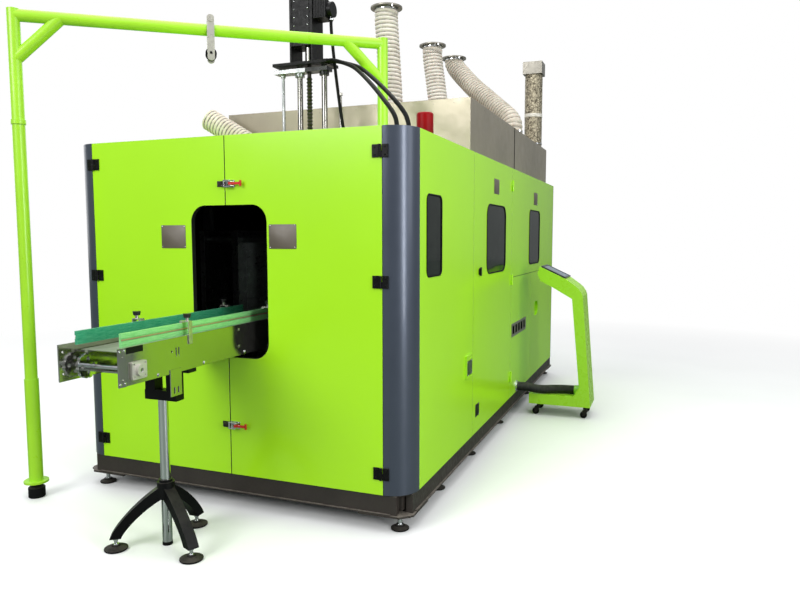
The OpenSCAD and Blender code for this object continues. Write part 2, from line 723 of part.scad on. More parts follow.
// Foil duct with its joint band, up to a square collar
collar_h = 128;
collar_w = 2 * duct_r + 8;
band_up = 294;
band_h = 40;
band_edge = 6;
module foil_duct() color("#8d8a80") placed() translate([duct_at[3][0], duct_at[3][1], 0]) {
    top = ceiling_z - collar_h;
    band_z = duct_z0 + band_up;
    rotate_extrude() polygon([[0, duct_z0], [duct_r - 4, duct_z0], [duct_r - 4, band_z],
        [duct_r, band_z + band_edge], [duct_r, band_z + band_h - band_edge],
        [duct_r - 4, band_z + band_h], [duct_r - 4, top], [0, top]]);
}
module duct_collars() color("#7d7a72") placed() {
    for (i = [0:2]) translate([duct_at[i][0] + duct_lean[i], duct_at[i][1] + duct_back[i],
        ceiling_z - flange_t])
        cylinder(h = flange_t, r = duct_r + 32);
    translate([duct_at[3][0] - collar_w / 2, duct_at[3][1] - collar_w / 2, ceiling_z - collar_h])
        cube([collar_w, collar_w, collar_h]);
}

// Open exhaust sleeve leaning out of the roof
sleeve_r = 84;
sleeve_pitch = 30;
sleeve_end = [mid_x - 982, 1220, roof_z + 330];
sleeve_turns = 28;
sleeve_l = (sleeve_turns + 0.5) * sleeve_pitch;
module roof_sleeve() color("#e4e0d4") placed() {
    end = sleeve_end;
    difference() {
        translate(end) rotate([0, 120, 0]) rotate_extrude() polygon(concat(
            [[sleeve_r - 9, 0]],
            [for (i = [0:sleeve_turns])
                each [[sleeve_r, i * sleeve_pitch], [sleeve_r - 5, (i + 0.5) * sleeve_pitch]]],
            [[sleeve_r - 9, sleeve_l]]));
        translate([end[0] - sleeve_l, end[1] - 2 * sleeve_r, roof_z - sleeve_l])
            cube([3 * sleeve_l, 4 * sleeve_r, sleeve_l]);
    }
}

// Signal beacon on the roof
beacon_at = [-73, 440];
beacon_r = 48.5;
beacon_h = 114;
beacon_round = 12;
module roof_fittings() color("#1b1b1b") placed() {
    translate([beacon_at[0], beacon_at[1], roof_z]) cylinder(h = 14, r = 34);
    for (p = [motor_route[7], hose_a_route[9], hose_b_route[9]]) translate([p[0], p[1], roof_z]) {
        cylinder(h = gland_h, r = gland_r, $fn = 6);
        cylinder(h = 6, r = gland_r + 6);
    }
}
module beacon_lens() color("#c31420") placed() translate([beacon_at[0], beacon_at[1], roof_z + 14])
    rotate_extrude() polygon(concat([[0, 0], [beacon_r - 1, 0], [beacon_r, 6]],
        [for (a = [0:15:90]) [beacon_r - 1 - beacon_round * (1 - cos(a)),
            beacon_h - beacon_round * (1 - sin(a))]],
        [[0, beacon_h]]));

// Stretch drive above the roof
drive_base_t = 16;
module guide_posts() color("#ccd0d4") placed() {
    for (x = post_xs) translate([x, stretch_y, roof_z]) {
        cylinder(h = top_plate_z - roof_z, r = post_d / 2);
        cylinder(h = drive_base_t, r = post_d);
    }
    translate([post_xs[1] + 94, stretch_y + 60, roof_z]) {
        cylinder(h = 420, r = 10);
        cylinder(h = 12, r = 26);
        translate([0, 0, 420]) cylinder(h = 18, r = 17, $fn = 6);
    }
    translate([screw_x, stretch_y, top_plate_z + top_plate_t])
        cylinder(h = servo_z - top_plate_z - top_plate_t, r = 28);
}
module drive_screw() color("#2c2724") placed() translate([screw_x, stretch_y, roof_z]) {
    pitch = 24;
    top = top_plate_z - roof_z;
    turns = floor((top - 76) / pitch);
    rotate_extrude() polygon(concat([[0, 0], [14, 0]],
        [for (i = [0:turns - 1]) each [[14, 20 + i * pitch], [21, 20 + (i + 0.5) * pitch]]],
        [[14, 20 + turns * pitch], [14, top], [0, top]]));
}
module top_plate_solid() {
    translate([rod_x - 45, stretch_y - 70, top_plate_z]) cube([367 + 45, 210, top_plate_t]);
    for (x = post_xs) translate([x, stretch_y, top_plate_z + top_plate_t]) cylinder(h = 16, r = 26,
        $fn = 6);
    for (p = [hose_a_route[0], hose_b_route[0]]) translate([p[0] - fitting_l - 1, p[1], p[2]])
        rotate([0, 90, 0])
        cylinder(h = fitting_l + 1, r = 16, $fn = 6);
}
servo_z = top_plate_z + 130;
servo_h = 335;
servo_top = servo_z + servo_h;
motor_z = servo_z + 175;
motor_end_x = mid_x - 172 + servo_w + 96;
module servo_column() color("#141416") placed() {
    top_plate_solid();
    x0 = mid_x - 172;
    base = top_plate_z + top_plate_t;
    difference() {
        translate([x0, stretch_y - 60, servo_z]) cube([servo_w, 160, servo_top - servo_z]);
        for (x = [x0 + 18, x0 + servo_w - 26]) translate([x, stretch_y - 61, servo_z - 1])
            cube([8, 5, servo_top - servo_z + 2]);
    }
    translate([x0, stretch_y - 60, base]) cube([12, 160, servo_z - base]);
    translate([x0 + servo_w - 12, stretch_y - 60, base]) cube([12, 160, servo_z - base]);
    translate([x0 + 8, stretch_y - 50, servo_top]) cube([servo_w - 16, 140, 14]);
}
module servo_motor() color("#101012") placed() {
    x0 = mid_x - 172 + servo_w;
    side = 120;
    translate([x0, stretch_y - 50, motor_z]) cube([96, side, side]);
    translate([x0 + 96, stretch_y + 10, motor_z + side / 2]) rotate([0, 90, 0]) cylinder(h = 34, r = 52);
    for (y = [-20, 40]) translate([x0 + 60, stretch_y + y, motor_z + side]) cylinder(h = 34, r = 15);
    translate([motor_end_x + 14, stretch_y + 10, motor_z - 14]) cylinder(h = 30, r = 15);
}
module stretch_carriage() color("#c6c8c8") placed() {
    bush_h = 26;
    difference() {
        union() {
            translate([rod_x - 50, stretch_y - 40, crosshead_z]) cube([post_xs[1] - rod_x + 92, 80,
                crosshead_t]);
            for (x = post_xs) translate([x, stretch_y, crosshead_z - bush_h]) cylinder(h = bush_h + 1,
                r = post_d / 2 + 14);
        }
        for (x = post_xs) translate([x, stretch_y, crosshead_z - bush_h - 1]) cylinder(h = 80,
            r = post_d / 2 + fit);
        translate([screw_x, stretch_y, crosshead_z - 1]) cylinder(h = crosshead_t + 2, r = 24);
    }
    rod_z = clamp_z + mould_h / 2 + 40;
    translate([rod_x, stretch_y, rod_z]) cylinder(h = crosshead_z - rod_z + 1, r = rod_d / 2);
    translate([rod_x, stretch_y, crosshead_z - 18]) cylinder(h = 18.5, r = 20, $fn = 6);
}

// Green tube gantry from the floor to the roof
along = [cos(beam_turn), sin(beam_turn)];
gantry_end = [gantry_x + beam_len * along[0], gantry_y + beam_len * along[1]];
brace = 250;
module gantry_tube(p, q) {
    d = q - p;
    l = norm(d);
    translate(p) rotate([0, acos(d[2] / l), atan2(d[1], d[0])]) cylinder(h = l, r = gantry_d / 2);
}
module gantry_frame() color("#9be022") placed() {
    a = [gantry_x, gantry_y, 0];
    b = [gantry_end[0], gantry_end[1], 0];
    u = [along[0], along[1], 0];
    up = [0, 0, 1];
    sleeve_h = 640;
    joint_z = roof_z + 90;
    flange_r = gantry_d;
    translate([gantry_x, gantry_y, gantry_foot_h]) cylinder(h = 12, r = flange_r);
    translate([gantry_x, gantry_y, gantry_foot_h]) cylinder(h = beam_z - gantry_foot_h + gantry_d / 2,
        r = gantry_d / 2);
    translate([gantry_x, gantry_y, gantry_foot_h]) cylinder(h = sleeve_h, r = gantry_d / 2 + 5);
    translate([gantry_x, gantry_y, joint_z]) cylinder(h = 26, r = gantry_d / 2 + 5);
    translate([gantry_end[0], gantry_end[1], roof_z]) cylinder(h = 10, r = flange_r);
    translate([gantry_end[0], gantry_end[1], roof_z]) cylinder(h = beam_z - roof_z + gantry_d / 2,
        r = gantry_d / 2);
    gantry_tube(a + beam_z * up, b + beam_z * up);
    gantry_tube(a + (beam_z - brace) * up, a + brace * u + beam_z * up);
    gantry_tube(b + (beam_z - brace) * up, b - brace * u + beam_z * up);
}

// Trolley on the beam: two plates, their bolts and the riding roller
trolley_s = 1098;
roller_z = 2716;
ride_r = 16;
module on_beam() translate([gantry_x, gantry_y, 0]) rotate([0, 0, beam_turn]) children();
module trolley_plates() color("#c7c3b9") placed() on_beam() translate([trolley_s, 0, 0]) {
    ride_z = beam_z + gantry_d / 2 + ride_r + seat;
    for (y = [-gantry_d / 2 - 9, gantry_d / 2 + 3]) difference() {
        xz(y, 6) round_rect([-22, roller_z - 46], [22, ride_z + 34], 20);
        xz(y - 1, 8) translate([0, roller_z]) circle(8 + fit);
    }
    translate([0, gantry_d / 2 + 14, ride_z]) rotate([90, 0, 0]) cylinder(h = gantry_d + 28, r = 6);
    translate([0, gantry_d / 2 + 3, ride_z]) rotate([90, 0, 0]) cylinder(h = gantry_d + 6, r = ride_r);
    for (s = [-1, 1]) translate([0, s * (gantry_d / 2 + 12) + 3, ride_z]) rotate([90, 0, 0])
        cylinder(h = 6, r = 11, $fn = 6);
}
module trolley_roller() color("#151515") placed() on_beam() translate([trolley_s, 0, roller_z])
    rotate([90, 0, 0]) {
    translate([0, 0, -gantry_d / 2 - 12]) cylinder(h = gantry_d + 24, r = 8);
    translate([0, 0, -28]) rotate_extrude() polygon([[0, 0], [34, 0], [34, 8], [26, 16], [26, 40],
        [34, 48], [34, 56], [0, 56]]);
}

// Outfeed conveyor
plate_z0 = conveyor_z - plate_h;
shaft_r = 10;
shaft_y = [-892, conveyor_len - conveyor_out - 90];
shaft_z = 996;
sprocket_r = 60;
slat_z = shaft_z + sprocket_r + 10;
hanger_y = -643;
leg_y = 250;
end_strip = 46;
end_hole_r = 5.5;
end_hole_zs = [35, 135];
module conveyor_end_holes(x, l) {
    for (z = end_hole_zs) translate([x, end_strip / 2, z]) rotate([0, 90, 0]) cylinder(h = l,
        r = end_hole_r);
}
module conveyor_plate() {
    yz(-plate_t, plate_t) difference() {
        translate([-conveyor_out, plate_z0]) square([conveyor_len, plate_h]);
        translate([shaft_y[0], shaft_z]) circle(shaft_r + 6);
        for (z = end_hole_zs) translate([-conveyor_out + end_strip / 2, plate_z0 + z]) circle(end_hole_r);
        for (y = [10, 29]) translate([hanger_y + y, conveyor_z - 70]) round_rect([-4, -22], [4, 22], 3.5);
        translate([hanger_y - 21, conveyor_z - 64]) circle(5);
    }
}
module conveyor_frame() color("#b7b6ae") placed() {
    translate([near_x, 0, 0]) conveyor_plate();
    translate([far_x + plate_t, 0, 0]) conveyor_plate();
    for (y = [-760, -420, -60, 180])
        translate([far_x + plate_t, y, plate_z0 + 12]) rotate([0, 90, 0])
            cylinder(h = conveyor_w - 2 * plate_t, r = 11);
    for (x = [near_x, far_x - 3]) translate([x, -conveyor_out, plate_z0]) difference() {
        cube([3, end_strip, plate_h]);
        conveyor_end_holes(-1, 5);
    }
    yz(near_x, plate_t) difference() {
        translate([hanger_y - 40, plate_z0 - 110]) square([80, 130]);
        for (y = [-14, 14]) translate([hanger_y + y, plate_z0 - 82]) round_rect([-5, -16], [5, 16], 4.5);
    }
    for (x = [far_x + plate_t, near_x - plate_t - 24])
        translate([x, shaft_y[0], slat_z - 8]) cube([24, shaft_y[1] - shaft_y[0], 8]);
    translate([far_x + plate_t, shaft_y[1] - 14, slat_z - 26]) rotate([0, 90, 0])
        cylinder(h = conveyor_w - 2 * plate_t, r = 14);
    // Leg inside the cabinet, from the floor plate to a cross tube under the side plates
    translate([far_x, leg_y - 25, plate_z0 - 40]) cube([conveyor_w, 50, 40.5]);
    translate([(far_x + near_x) / 2 - 25, leg_y - 25, base_top]) cube([50, 50, plate_z0 - 30 - base_top]);
    translate([(far_x + near_x) / 2 - 60, leg_y - 60, base_top]) cube([120, 120, 8]);
    for (z = [-28, -120]) translate([near_x - 1, -110, conveyor_z + z]) rotate([0, 90, 0])
        cylinder(h = 7, r = 8, $fn = 6);
}
module conveyor_chain() color("#8f9a86") placed() {
    run = shaft_y[1] - shaft_y[0];
    pitch = 38.1;
    count = floor(run / pitch);
    slat_t = 4;
    for (x = [far_x + 44, near_x - 44]) translate([x - 9, 0, 0]) yz(0, 18) difference() {
        translate([shaft_y[0], shaft_z + sprocket_r]) square([run, 10]);
        for (i = [1:count - 1]) translate([shaft_y[0] + i * pitch, shaft_z + sprocket_r + 5]) circle(2.5);
    }
    for (i = [0:count - 1])
        translate([far_x + plate_t + 8, shaft_y[0] + i * pitch + 1, slat_z])
            cube([conveyor_w - 2 * plate_t - 16, pitch - 2, slat_t]);
}
module conveyor_shaft() color("#cfd2d4") placed() translate([far_x - 20, shaft_y[0], shaft_z])
    rotate([0, 90, 0]) {
    cylinder(h = conveyor_w + 40, r = shaft_r);
    for (x = [44, conveyor_w - 44]) translate([0, 0, x + 20 - 8]) linear_extrude(16) difference() {
        circle(sprocket_r - 1);
        for (a = [0:30:330]) rotate(a) translate([sprocket_r, 0]) circle(6);
        for (a = [0:90:270]) rotate(a) translate([sprocket_r * 0.55, 0]) circle(9);
    }
}
module bearing_flange() {
    difference() {
        union() {
            yz(0, 11) round_rect([-46, -40], [46, 40], 8);
            rotate([0, 90, 0]) cylinder(h = 24, r = 27);
        }
        rotate([0, 90, 0]) translate([0, 0, -1]) cylinder(h = 30, r = shaft_r + fit);
        for (y = [-34, 34], z = [-28, 28]) translate([6, y, z]) rotate([0, 90, 0]) cylinder(h = 6, r = 5.5);
    }
}
module flange_bearings() color("#a9a698") placed() {
    translate([near_x, shaft_y[0], shaft_z]) bearing_flange();
    translate([far_x, shaft_y[0], shaft_z]) mirror([1, 0, 0]) bearing_flange();
}
// Guide rails: planks with a groove along the middle
module guide_plank(x0, face) {
    difference() {
        translate([x0, -conveyor_out + 63, conveyor_z - 5]) cube([14, conveyor_len - 90, guide_h]);
        translate([face > 0 ? x0 + 9 : x0 - 1, -conveyor_out + 62, conveyor_z + guide_h * 0.36])
            cube([6, conveyor_len - 88, guide_h * 0.24]);
    }
}
module guide_rails() color("#4fb887") placed() {
    guide_plank(near_x - plate_t - 46, 1);
    guide_plank(far_x + plate_t + 32, -1);
}
bracket_ys = [-528, 210];
module rail_bracket() {
    translate([0, -14, conveyor_z - 45]) cube([5, 28, 110]);
    translate([-plate_t - 46, -14, conveyor_z + guide_h + 1]) cube([plate_t + 51, 28, 5]);
    translate([-plate_t - 46, -14, conveyor_z + guide_h - 5]) cube([14, 28, 8]);
    translate([-14, 0, conveyor_z + guide_h + 6]) cylinder(h = 16, r = 8);
    translate([-14, 0, conveyor_z + guide_h + 22]) cylinder(h = 20, r1 = 17, r2 = 20, $fn = 16);
}
module rail_brackets() color("#8a8983") placed() {
    for (y = bracket_ys) {
        translate([near_x, y, 0]) rail_bracket();
        translate([far_x, y, 0]) mirror([1, 0, 0]) rail_bracket();
    }
}

// Conveyor stand
hub_z = 250;
hub_top = 335;
pole_top = plate_z0 - 170;
module stand_pole() color("#d0d3d6") placed() {
    translate([stand_at[0], stand_at[1], pole_cap_h]) cylinder(h = pole_top - pole_cap_h, r = pole_d / 2);
}
// One leg: an arched bar from the hub down to its foot
leg_bend = 1.25;
leg_w = 56;
function leg_line(r, z, h) = [for (i = [0:12]) let (q = sin(90 * i / 12))
    [r * q, z + h * pow(1 - pow(q, leg_bend), 1 / leg_bend)]];
module stand_leg() {
    top = leg_line(stand_leg_r + leg_w / 2, stand_foot_z, hub_top - 12 - stand_foot_z);
    low = leg_line(stand_leg_r - leg_w / 2, stand_foot_z, hub_z + 6 - stand_foot_z);
    xz(-leg_w / 2, leg_w) polygon(concat(top, [for (i = [12:-1:0]) low[i]]));
}
module stand_legs() color("#121212") placed() translate([stand_at[0], stand_at[1], 0]) {
    difference() {
        union() {
            translate([0, 0, hub_z]) cylinder(h = hub_top - hub_z, r = 44);
            translate([0, 0, hub_top - 1]) cylinder(h = 14, r = 34);
            for (a = stand_leg_turns) rotate([0, 0, a]) stand_leg();
        }
        cylinder(h = hub_top + 60, r = pole_d / 2 + fit);
    }
    // Saddle on top of the pole, reaching both side plates
    cap_h = 50;
    bar_t = 20;
    translate([-87, -32, pole_top]) cube([195, 60, cap_h]);
    for (x = [-83, 48]) translate([x, -32, pole_top + cap_h - 1])
        cube([60, 60, plate_z0 - pole_top - cap_h + 1]);
    translate([-157, -32, plate_z0 - bar_t]) cube([138, 60, bar_t]);
    translate([48, -32, plate_z0 - bar_t]) cube([140, 60, bar_t]);
}

// Operator console
console_points = [[0, -105], [console_reach, -105], [450, 834], [448, 862], [437, 891], [414, 925],
    [383, 952], [305, 1008], [77, 1115], [57, 1052], [84, 989], [172, 946], [358, 839], [432, 68],
    [386, -15], [0, -15.5]];
console_z = 210;
console_outline = [for (p = console_points) [console_x + p[0], console_z + p[1]]];
module console_body() color("#95da1f") placed() {
    y0 = console_y - console_w / 2;
    difference() {
        xz(y0, console_w) polygon(console_outline);
        xz(y0 + console_t, console_w - 2 * console_t) polygon(inward(console_outline, console_t));
    }
    end = console_route[len(console_route) - 1];
    translate(end) rotate([0, 90, 0]) cylinder(h = 50, r = console_cable_d / 2 + 4);
}
screen_a = console_points[8];
screen_b = console_points[7];
module console_screen() color("#20242a") placed() {
    d = screen_b - screen_a;
    l = norm(d);
    turn = atan2(d[1], d[0]);
    translate([console_x + screen_a[0], console_y, console_z + screen_a[1]]) rotate([0, -turn, 0])
        difference() {
        translate([10, -console_w / 2 + 14, fit]) cube([l - 20, console_w - 28, 12]);
        translate([24, -console_w / 2 + 34, 9]) cube([l - 48, console_w - 68, 4]);
    }
}
// Castors: forks with their stems under the console, and a wheel on each axle
castor_xs = [console_x + 72, console_x + 489];
castor_ys = [console_y - console_w / 2 + 55, console_y + console_w / 2 - 55];
castors_at = [for (y = castor_ys, x = castor_xs) [x, y]];
castor_trail = 18;
wheel_w = 22;
axle_r = 5;
module castor_forks() color("#8f9498") placed() difference() {
    for (p = castors_at) translate([p[0], p[1], 0]) {
        translate([-castor_trail, wheel_w / 2 + 6, castor_d / 2]) rotate([90, 0, 0])
            cylinder(h = wheel_w + 12, r = axle_r);
        for (y = [-wheel_w / 2 - 4, wheel_w / 2 + 1]) xz(y, 3)
            polygon([[-castor_trail - 10, castor_d / 2 - 8],
            [-castor_trail + 10, castor_d / 2 - 8], [20, castor_d + 6], [20, castor_d + 12],
                [-26, castor_d + 12],
            [-30, castor_d - 6]]);
        translate([-26, -wheel_w / 2 - 4, castor_d + 9]) cube([46, wheel_w + 8, 3]);
        translate([0, 0, castor_d + 11]) cylinder(h = 6, r = 16);
        translate([0, 0, castor_d + 11]) cylinder(h = 60, r = 9);
    }
    xz(console_y - console_w / 2, console_w) polygon(console_outline);
}
module castor_wheel(i) color("#161616") placed() translate([castors_at[i][0] - castor_trail,
    castors_at[i][1], castor_d / 2])
    rotate([90, 0, 0]) translate([0, 0, -wheel_w / 2]) rotate_extrude() polygon([[axle_r + fit, 0],
        [12, 0], [13, 3],
        [castor_d / 2 - 8, 3], [castor_d / 2 - 6, 0], [castor_d / 2 - 3, 0], [castor_d / 2, 4],
            [castor_d / 2, wheel_w - 4],
        [castor_d / 2 - 3, wheel_w], [castor_d / 2 - 6, wheel_w], [castor_d / 2 - 8, wheel_w - 3],
            [13, wheel_w - 3],
        [12, wheel_w], [axle_r + fit, wheel_w]]);
module castor_wheel_1() castor_wheel(0);
module castor_wheel_2() castor_wheel(1);
module castor_wheel_3() castor_wheel(2);
module castor_wheel_4() castor_wheel(3);

// Clamp unit: fixed end platens on feet, joined by four tie bars
clamp_z = 1250;
clamp_y = stretch_y;
platen_h = 760;
platen_w = 620;
end_t = 40;
end_reach = 520;
mould_w = 200;
mould_h = 600;
mould_d = 420;
tie_pts = [for (y = [-250, 250], z = [-320, 320]) [clamp_y + y, clamp_z + z]];
module clamp_frame() color("#8b9196") placed() {
    for (s = [-1, 1]) difference() {
        translate([rod_x + s * (end_reach - end_t / 2) - end_t / 2, clamp_y - platen_w / 2, base_top])
            cube([end_t, platen_w, clamp_z + platen_h / 2 - base_top]);
        translate([rod_x + s * (end_reach - end_t / 2) - end_t, clamp_y - 200, base_top + 90])
            cube([2 * end_t, 400, 420]);
    }
    for (p = tie_pts) translate([rod_x - end_reach + end_t / 2, p[0], p[1]]) rotate([0, 90, 0])
        cylinder(h = 2 * end_reach - end_t, r = tie_d / 2);
    translate([rod_x - 160, clamp_y - 160, base_top])
        cube([320, 320, clamp_z - mould_h / 2 - 14 - base_top]);
}
// Mould half with its platen; the cavity is half of the container's shape
module mould_half() {
    platen_t = 50;
    difference() {
        union() {
            translate([0.15, -mould_d / 2, -mould_h / 2]) cube([mould_w, mould_d, mould_h]);
            translate([mould_w, -platen_w / 2, -platen_h / 2]) cube([platen_t, platen_w, platen_h]);
        }
        translate([0, 0, -mould_h / 2 + 40]) rotate_extrude() polygon([[0, 0], [bottle_r - 16, 0],
            [bottle_r, 14],
            [bottle_r, bottle_h * 0.72], [rod_d + 12, bottle_h], [rod_d + 12, mould_h], [0, mould_h]]);
        for (p = tie_pts) translate([mould_w - 1, p[0] - clamp_y, p[1] - clamp_z]) rotate([0, 90, 0])
            cylinder(h = platen_t + 2, r = tie_d / 2 + fit);
    }
}
module mould_right() color("#a7adb2") placed() translate([rod_x, clamp_y, clamp_z]) mould_half();
module mould_left() color("#a7adb2") placed() translate([rod_x, clamp_y, clamp_z]) mirror([1, 0, 0])
    mould_half();

// Preform oven: a tunnel of reflector walls with lamp rows, on a stand
oven_y = [2100, 3900];
oven_x = mid_x + 120;
module oven() color("#a3a6a8") placed() {
    wall_t = 12;
    wall_h = 560;
    tunnel = 300;
    stand_w = 500;
    stand_h = 700;
    lamp_r = 9;
    top = base_top + stand_h;
    run = oven_y[1] - oven_y[0];
    translate([oven_x - stand_w / 2, oven_y[0], base_top]) cube([stand_w, run, stand_h]);
    for (x = [oven_x - tunnel / 2 - wall_t, oven_x + tunnel / 2])
        translate([x, oven_y[0], top - 1]) cube([wall_t, run, wall_h]);
    for (i = [0:5]) translate([oven_x + tunnel / 2 - 60, oven_y[0] + 60, top + 80 + i * 75])
        rotate([-90, 0, 0])
        cylinder(h = run - 120, r = lamp_r);
    for (y = [oven_y[0] + 60, oven_y[1] - 80])
        translate([oven_x + tunnel / 2 - 70, y, top - 1]) cube([71, 20, wall_h - 80]);
}

// Cords, as centre lines chosen by hand. The motor cable and the hoses are
// measured from the middle of the roof, the console's cable from the front.
gland_h = 18;
gland_r = 20;
outlet_l = 14;
outlet_r = 42;
fitting_l = 14;
motor_points = [[116, 1110, 916], [116, 1110, 880], [124, 1111, 770], [148, 1113, 550], [180, 1118, 300],
                [208, 1124, 120], [214, 1126, 60], [214, 1126, 18]];
hose_a_points = [[119, 1044, 635], [160, 1044, 634], [244, 1004, 604], [376, 908, 540], [520, 740, 440],
                 [672, 560, 320], [800, 424, 205], [878, 360, 120], [904, 340, 60], [906, 338, 18]];
hose_b_points = [[119, 1078, 635], [160, 1078, 634], [258, 1036, 604], [408, 930, 540], [560, 756, 440],
                 [714, 580, 326], [852, 440, 212], [934, 388, 122], [962, 370, 60], [964, 368, 18]];
motor_route = [for (p = motor_points) [p[0] + mid_x, p[1], p[2] + roof_z]];
function hose_route(p) = let (n = len(p) - 1, wide = mid_x + 1108)
    [for (i = [0:n]) [p[i][0] + mid_x - wide * i / n, p[i][1], p[i][2] + roof_z]];
hose_a_route = hose_route(hose_a_points);
hose_b_route = hose_route(hose_b_points);
console_route = [[outlet_l, outlet_at[0], outlet_at[1]], [60, 2729, 260], [108, 2737, 255], [156, 2751,
    245],
    [204, 2771, 238], [252, 2799, 234], [300, 2827, 234], [348, 2847, 234], [396, 2861, 234],
    [444, 2868, 234], [490, 2870, 234]];
console_cable_d = 76;
module motor_cable() color("#0f0f10") placed() cord(motor_route, 22, 3, 8, [0, 0, -1], [0, 0, -1]);
module air_hose_a() color("#111112") placed() cord(hose_a_route, 26, 3, 8, [1, 0, 0], [0, 0, -1]);
module air_hose_b() color("#111112") placed() cord(hose_b_route, 26, 3, 8, [1, 0, 0], [0, 0, -1]);
module console_cable() color("#0c0c0d") placed()
    cord(console_route, console_cable_d, 2, 12, [1, 0, 0], [1, 0, 0]);

base_frame();
foot_spindles();
foot_pads();
inner_frame();
corner_columns();
right_panels();
right_windows();
plain_panels();
vent_grille();
cable_outlet();
door_left();
door_right();
hinge_frames();
hinge_leaves_left();
hinge_leaves_right();
latch_bases();
latch_keepers();
latch_lever_upper();
latch_lever_lower();
side_door();
side_door_window();
side_door_handle();
hood();
white_ducts();
foil_duct();
duct_collars();
roof_sleeve();
roof_fittings();
beacon_lens();
guide_posts();
drive_screw();
servo_column();
servo_motor();
stretch_carriage();
gantry_frame();
trolley_plates();
trolley_roller();
conveyor_frame();
conveyor_chain();
conveyor_shaft();
flange_bearings();
guide_rails();
rail_brackets();
stand_pole();
stand_legs();
console_body();
console_screen();
castor_forks();
castor_wheel_1();
castor_wheel_2();
castor_wheel_3();
castor_wheel_4();
clamp_frame();
mould_left();
mould_right();
oven();
motor_cable();
air_hose_a();
air_hose_b();
console_cable();
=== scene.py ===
import math
import bmesh
import bpy
from mathutils import Matrix, Vector, noise


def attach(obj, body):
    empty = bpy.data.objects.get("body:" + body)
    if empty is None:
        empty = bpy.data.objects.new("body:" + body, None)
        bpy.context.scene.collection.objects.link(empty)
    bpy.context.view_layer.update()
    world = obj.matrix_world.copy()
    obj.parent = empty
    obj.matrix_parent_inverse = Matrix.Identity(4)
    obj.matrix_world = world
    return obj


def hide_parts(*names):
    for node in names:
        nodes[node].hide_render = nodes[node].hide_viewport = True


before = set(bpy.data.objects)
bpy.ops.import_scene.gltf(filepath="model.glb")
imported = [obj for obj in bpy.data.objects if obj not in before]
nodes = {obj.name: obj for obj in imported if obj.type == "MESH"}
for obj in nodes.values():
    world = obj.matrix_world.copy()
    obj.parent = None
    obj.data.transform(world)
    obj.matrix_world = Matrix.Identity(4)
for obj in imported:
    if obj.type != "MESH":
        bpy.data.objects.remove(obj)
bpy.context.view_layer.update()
scene = bpy.context.scene

# Measured places are in millimetres from the cabinet's front right bottom corner
SHIFT = Vector((885.5, -1887.0, 0.0))


def at(x, y, z):
    """Measured place as a point of the frame, in metres."""
    return (Vector((x, y, z)) + SHIFT) / 1000


def add_object(name, data):
    ob = bpy.data.objects.new(name, data)
    scene.collection.objects.link(ob)
    return ob


# Sizes of the cabinet, as in the CAD source
CABINET_W = 2216
CABINET_LEN = 4784
CABINET_H = 2150
MID = -CABINET_W / 2
PANEL_Z = 209
HINGE_X = -162
HINGE_ZS = (PANEL_Z + 118, CABINET_H / 2 + 275, CABINET_H - 128)
WINDOW_Z = 1320
WINDOW_H = 500
SOCKET_BOX_T = 10

# Cup grip of the low cover: middle and half size, along y and z
CUP_MID = (3650, 870)
CUP_HALF = (116, 80)

# Conveyor: its near and far side plate, guide planks and the knobs of their brackets
CONVEYOR_W = 340
CONVEYOR_LEN = 1400
CONVEYOR_Z = 1105
CONVEYOR_FRONT = -1010
PLATE_H = 170
PLATE_T = 4
NEAR = MID + 148
FAR = NEAR - CONVEYOR_W
PLANK_NEAR = NEAR - PLATE_T - 46
PLANK_FAR = FAR + PLATE_T + 32
GUIDE_H = 62
KNOB_Z = CONVEYOR_Z + GUIDE_H + 21

# Hood, ducts and roof sleeve
HOOD_RIGHT = -80
HOOD_LEFT = HOOD_RIGHT - (CABINET_W - 236)
HOOD_FRONT = 1420
HOOD_BACK = HOOD_FRONT + 3180
HOOD_SPLIT = HOOD_FRONT + 1470
HOOD_TOP = CABINET_H + 396
DUCT_LOW = HOOD_TOP + 30
CEILING = 3450
DUCT_HIGH = CEILING - 12
FOIL_HIGH = CEILING - 128
FOIL_BAND = (DUCT_LOW + 294, DUCT_LOW + 334)
SLEEVE_END = (MID - 982, 1220, CABINET_H + 330)
SLEEVE_PITCH = 30

# Stretch drive; its crosshead is black on the screw's side
STRETCH_Y = 1100
SERVO_X = MID - 172
SERVO_W = 178
SERVO_Z = CABINET_H + 755
MOTOR_X = SERVO_X + SERVO_W
MOTOR_L = 96
MOTOR_Z = SERVO_Z + 175
MOTOR_SIDE = 120
BLACK_FROM_X = MID - 65

# Operator console, with the upper and lower end of its sloping screen
CONSOLE_X = 108
CONSOLE_Y = 2935
CONSOLE_Z = 210
CONSOLE_W = 350
SCREEN_TOP = (77, 1115)
SCREEN_FOOT = (305, 1008)

# Directions
FRONT_OUT = (0, -1, 0)
RIGHT_OUT = (1, 0, 0)
LEFT_OUT = (-1, 0, 0)
UP = (0, 0, 1)


# Camera, fitted to the cabinet's edges in the photo
def make_camera():
    data = bpy.data.cameras.new("camera")
    data.lens = 31.03
    data.sensor_width = 36
    camera = add_object("camera", data)
    camera.location = (2.1085, -5.182, 1.584)
    camera.rotation_euler = (math.radians(84.77), math.radians(0.05), math.radians(21.18))
    scene.camera = camera


make_camera()
scene.view_settings.view_transform = "Standard"


# Colours and node trees
def rgb(r, g, b):
    """Linear colour of a screen colour given in steps of 0 to 255."""
    def linear(step):
        c = step / 255
        return c / 12.92 if c <= 0.04045 else ((c + 0.055) / 1.055) ** 2.4
    return (linear(r), linear(g), linear(b), 1.0)


def shade(colour, factor):
    return (*(min(c * factor, 1) for c in colour[:3]), 1.0)


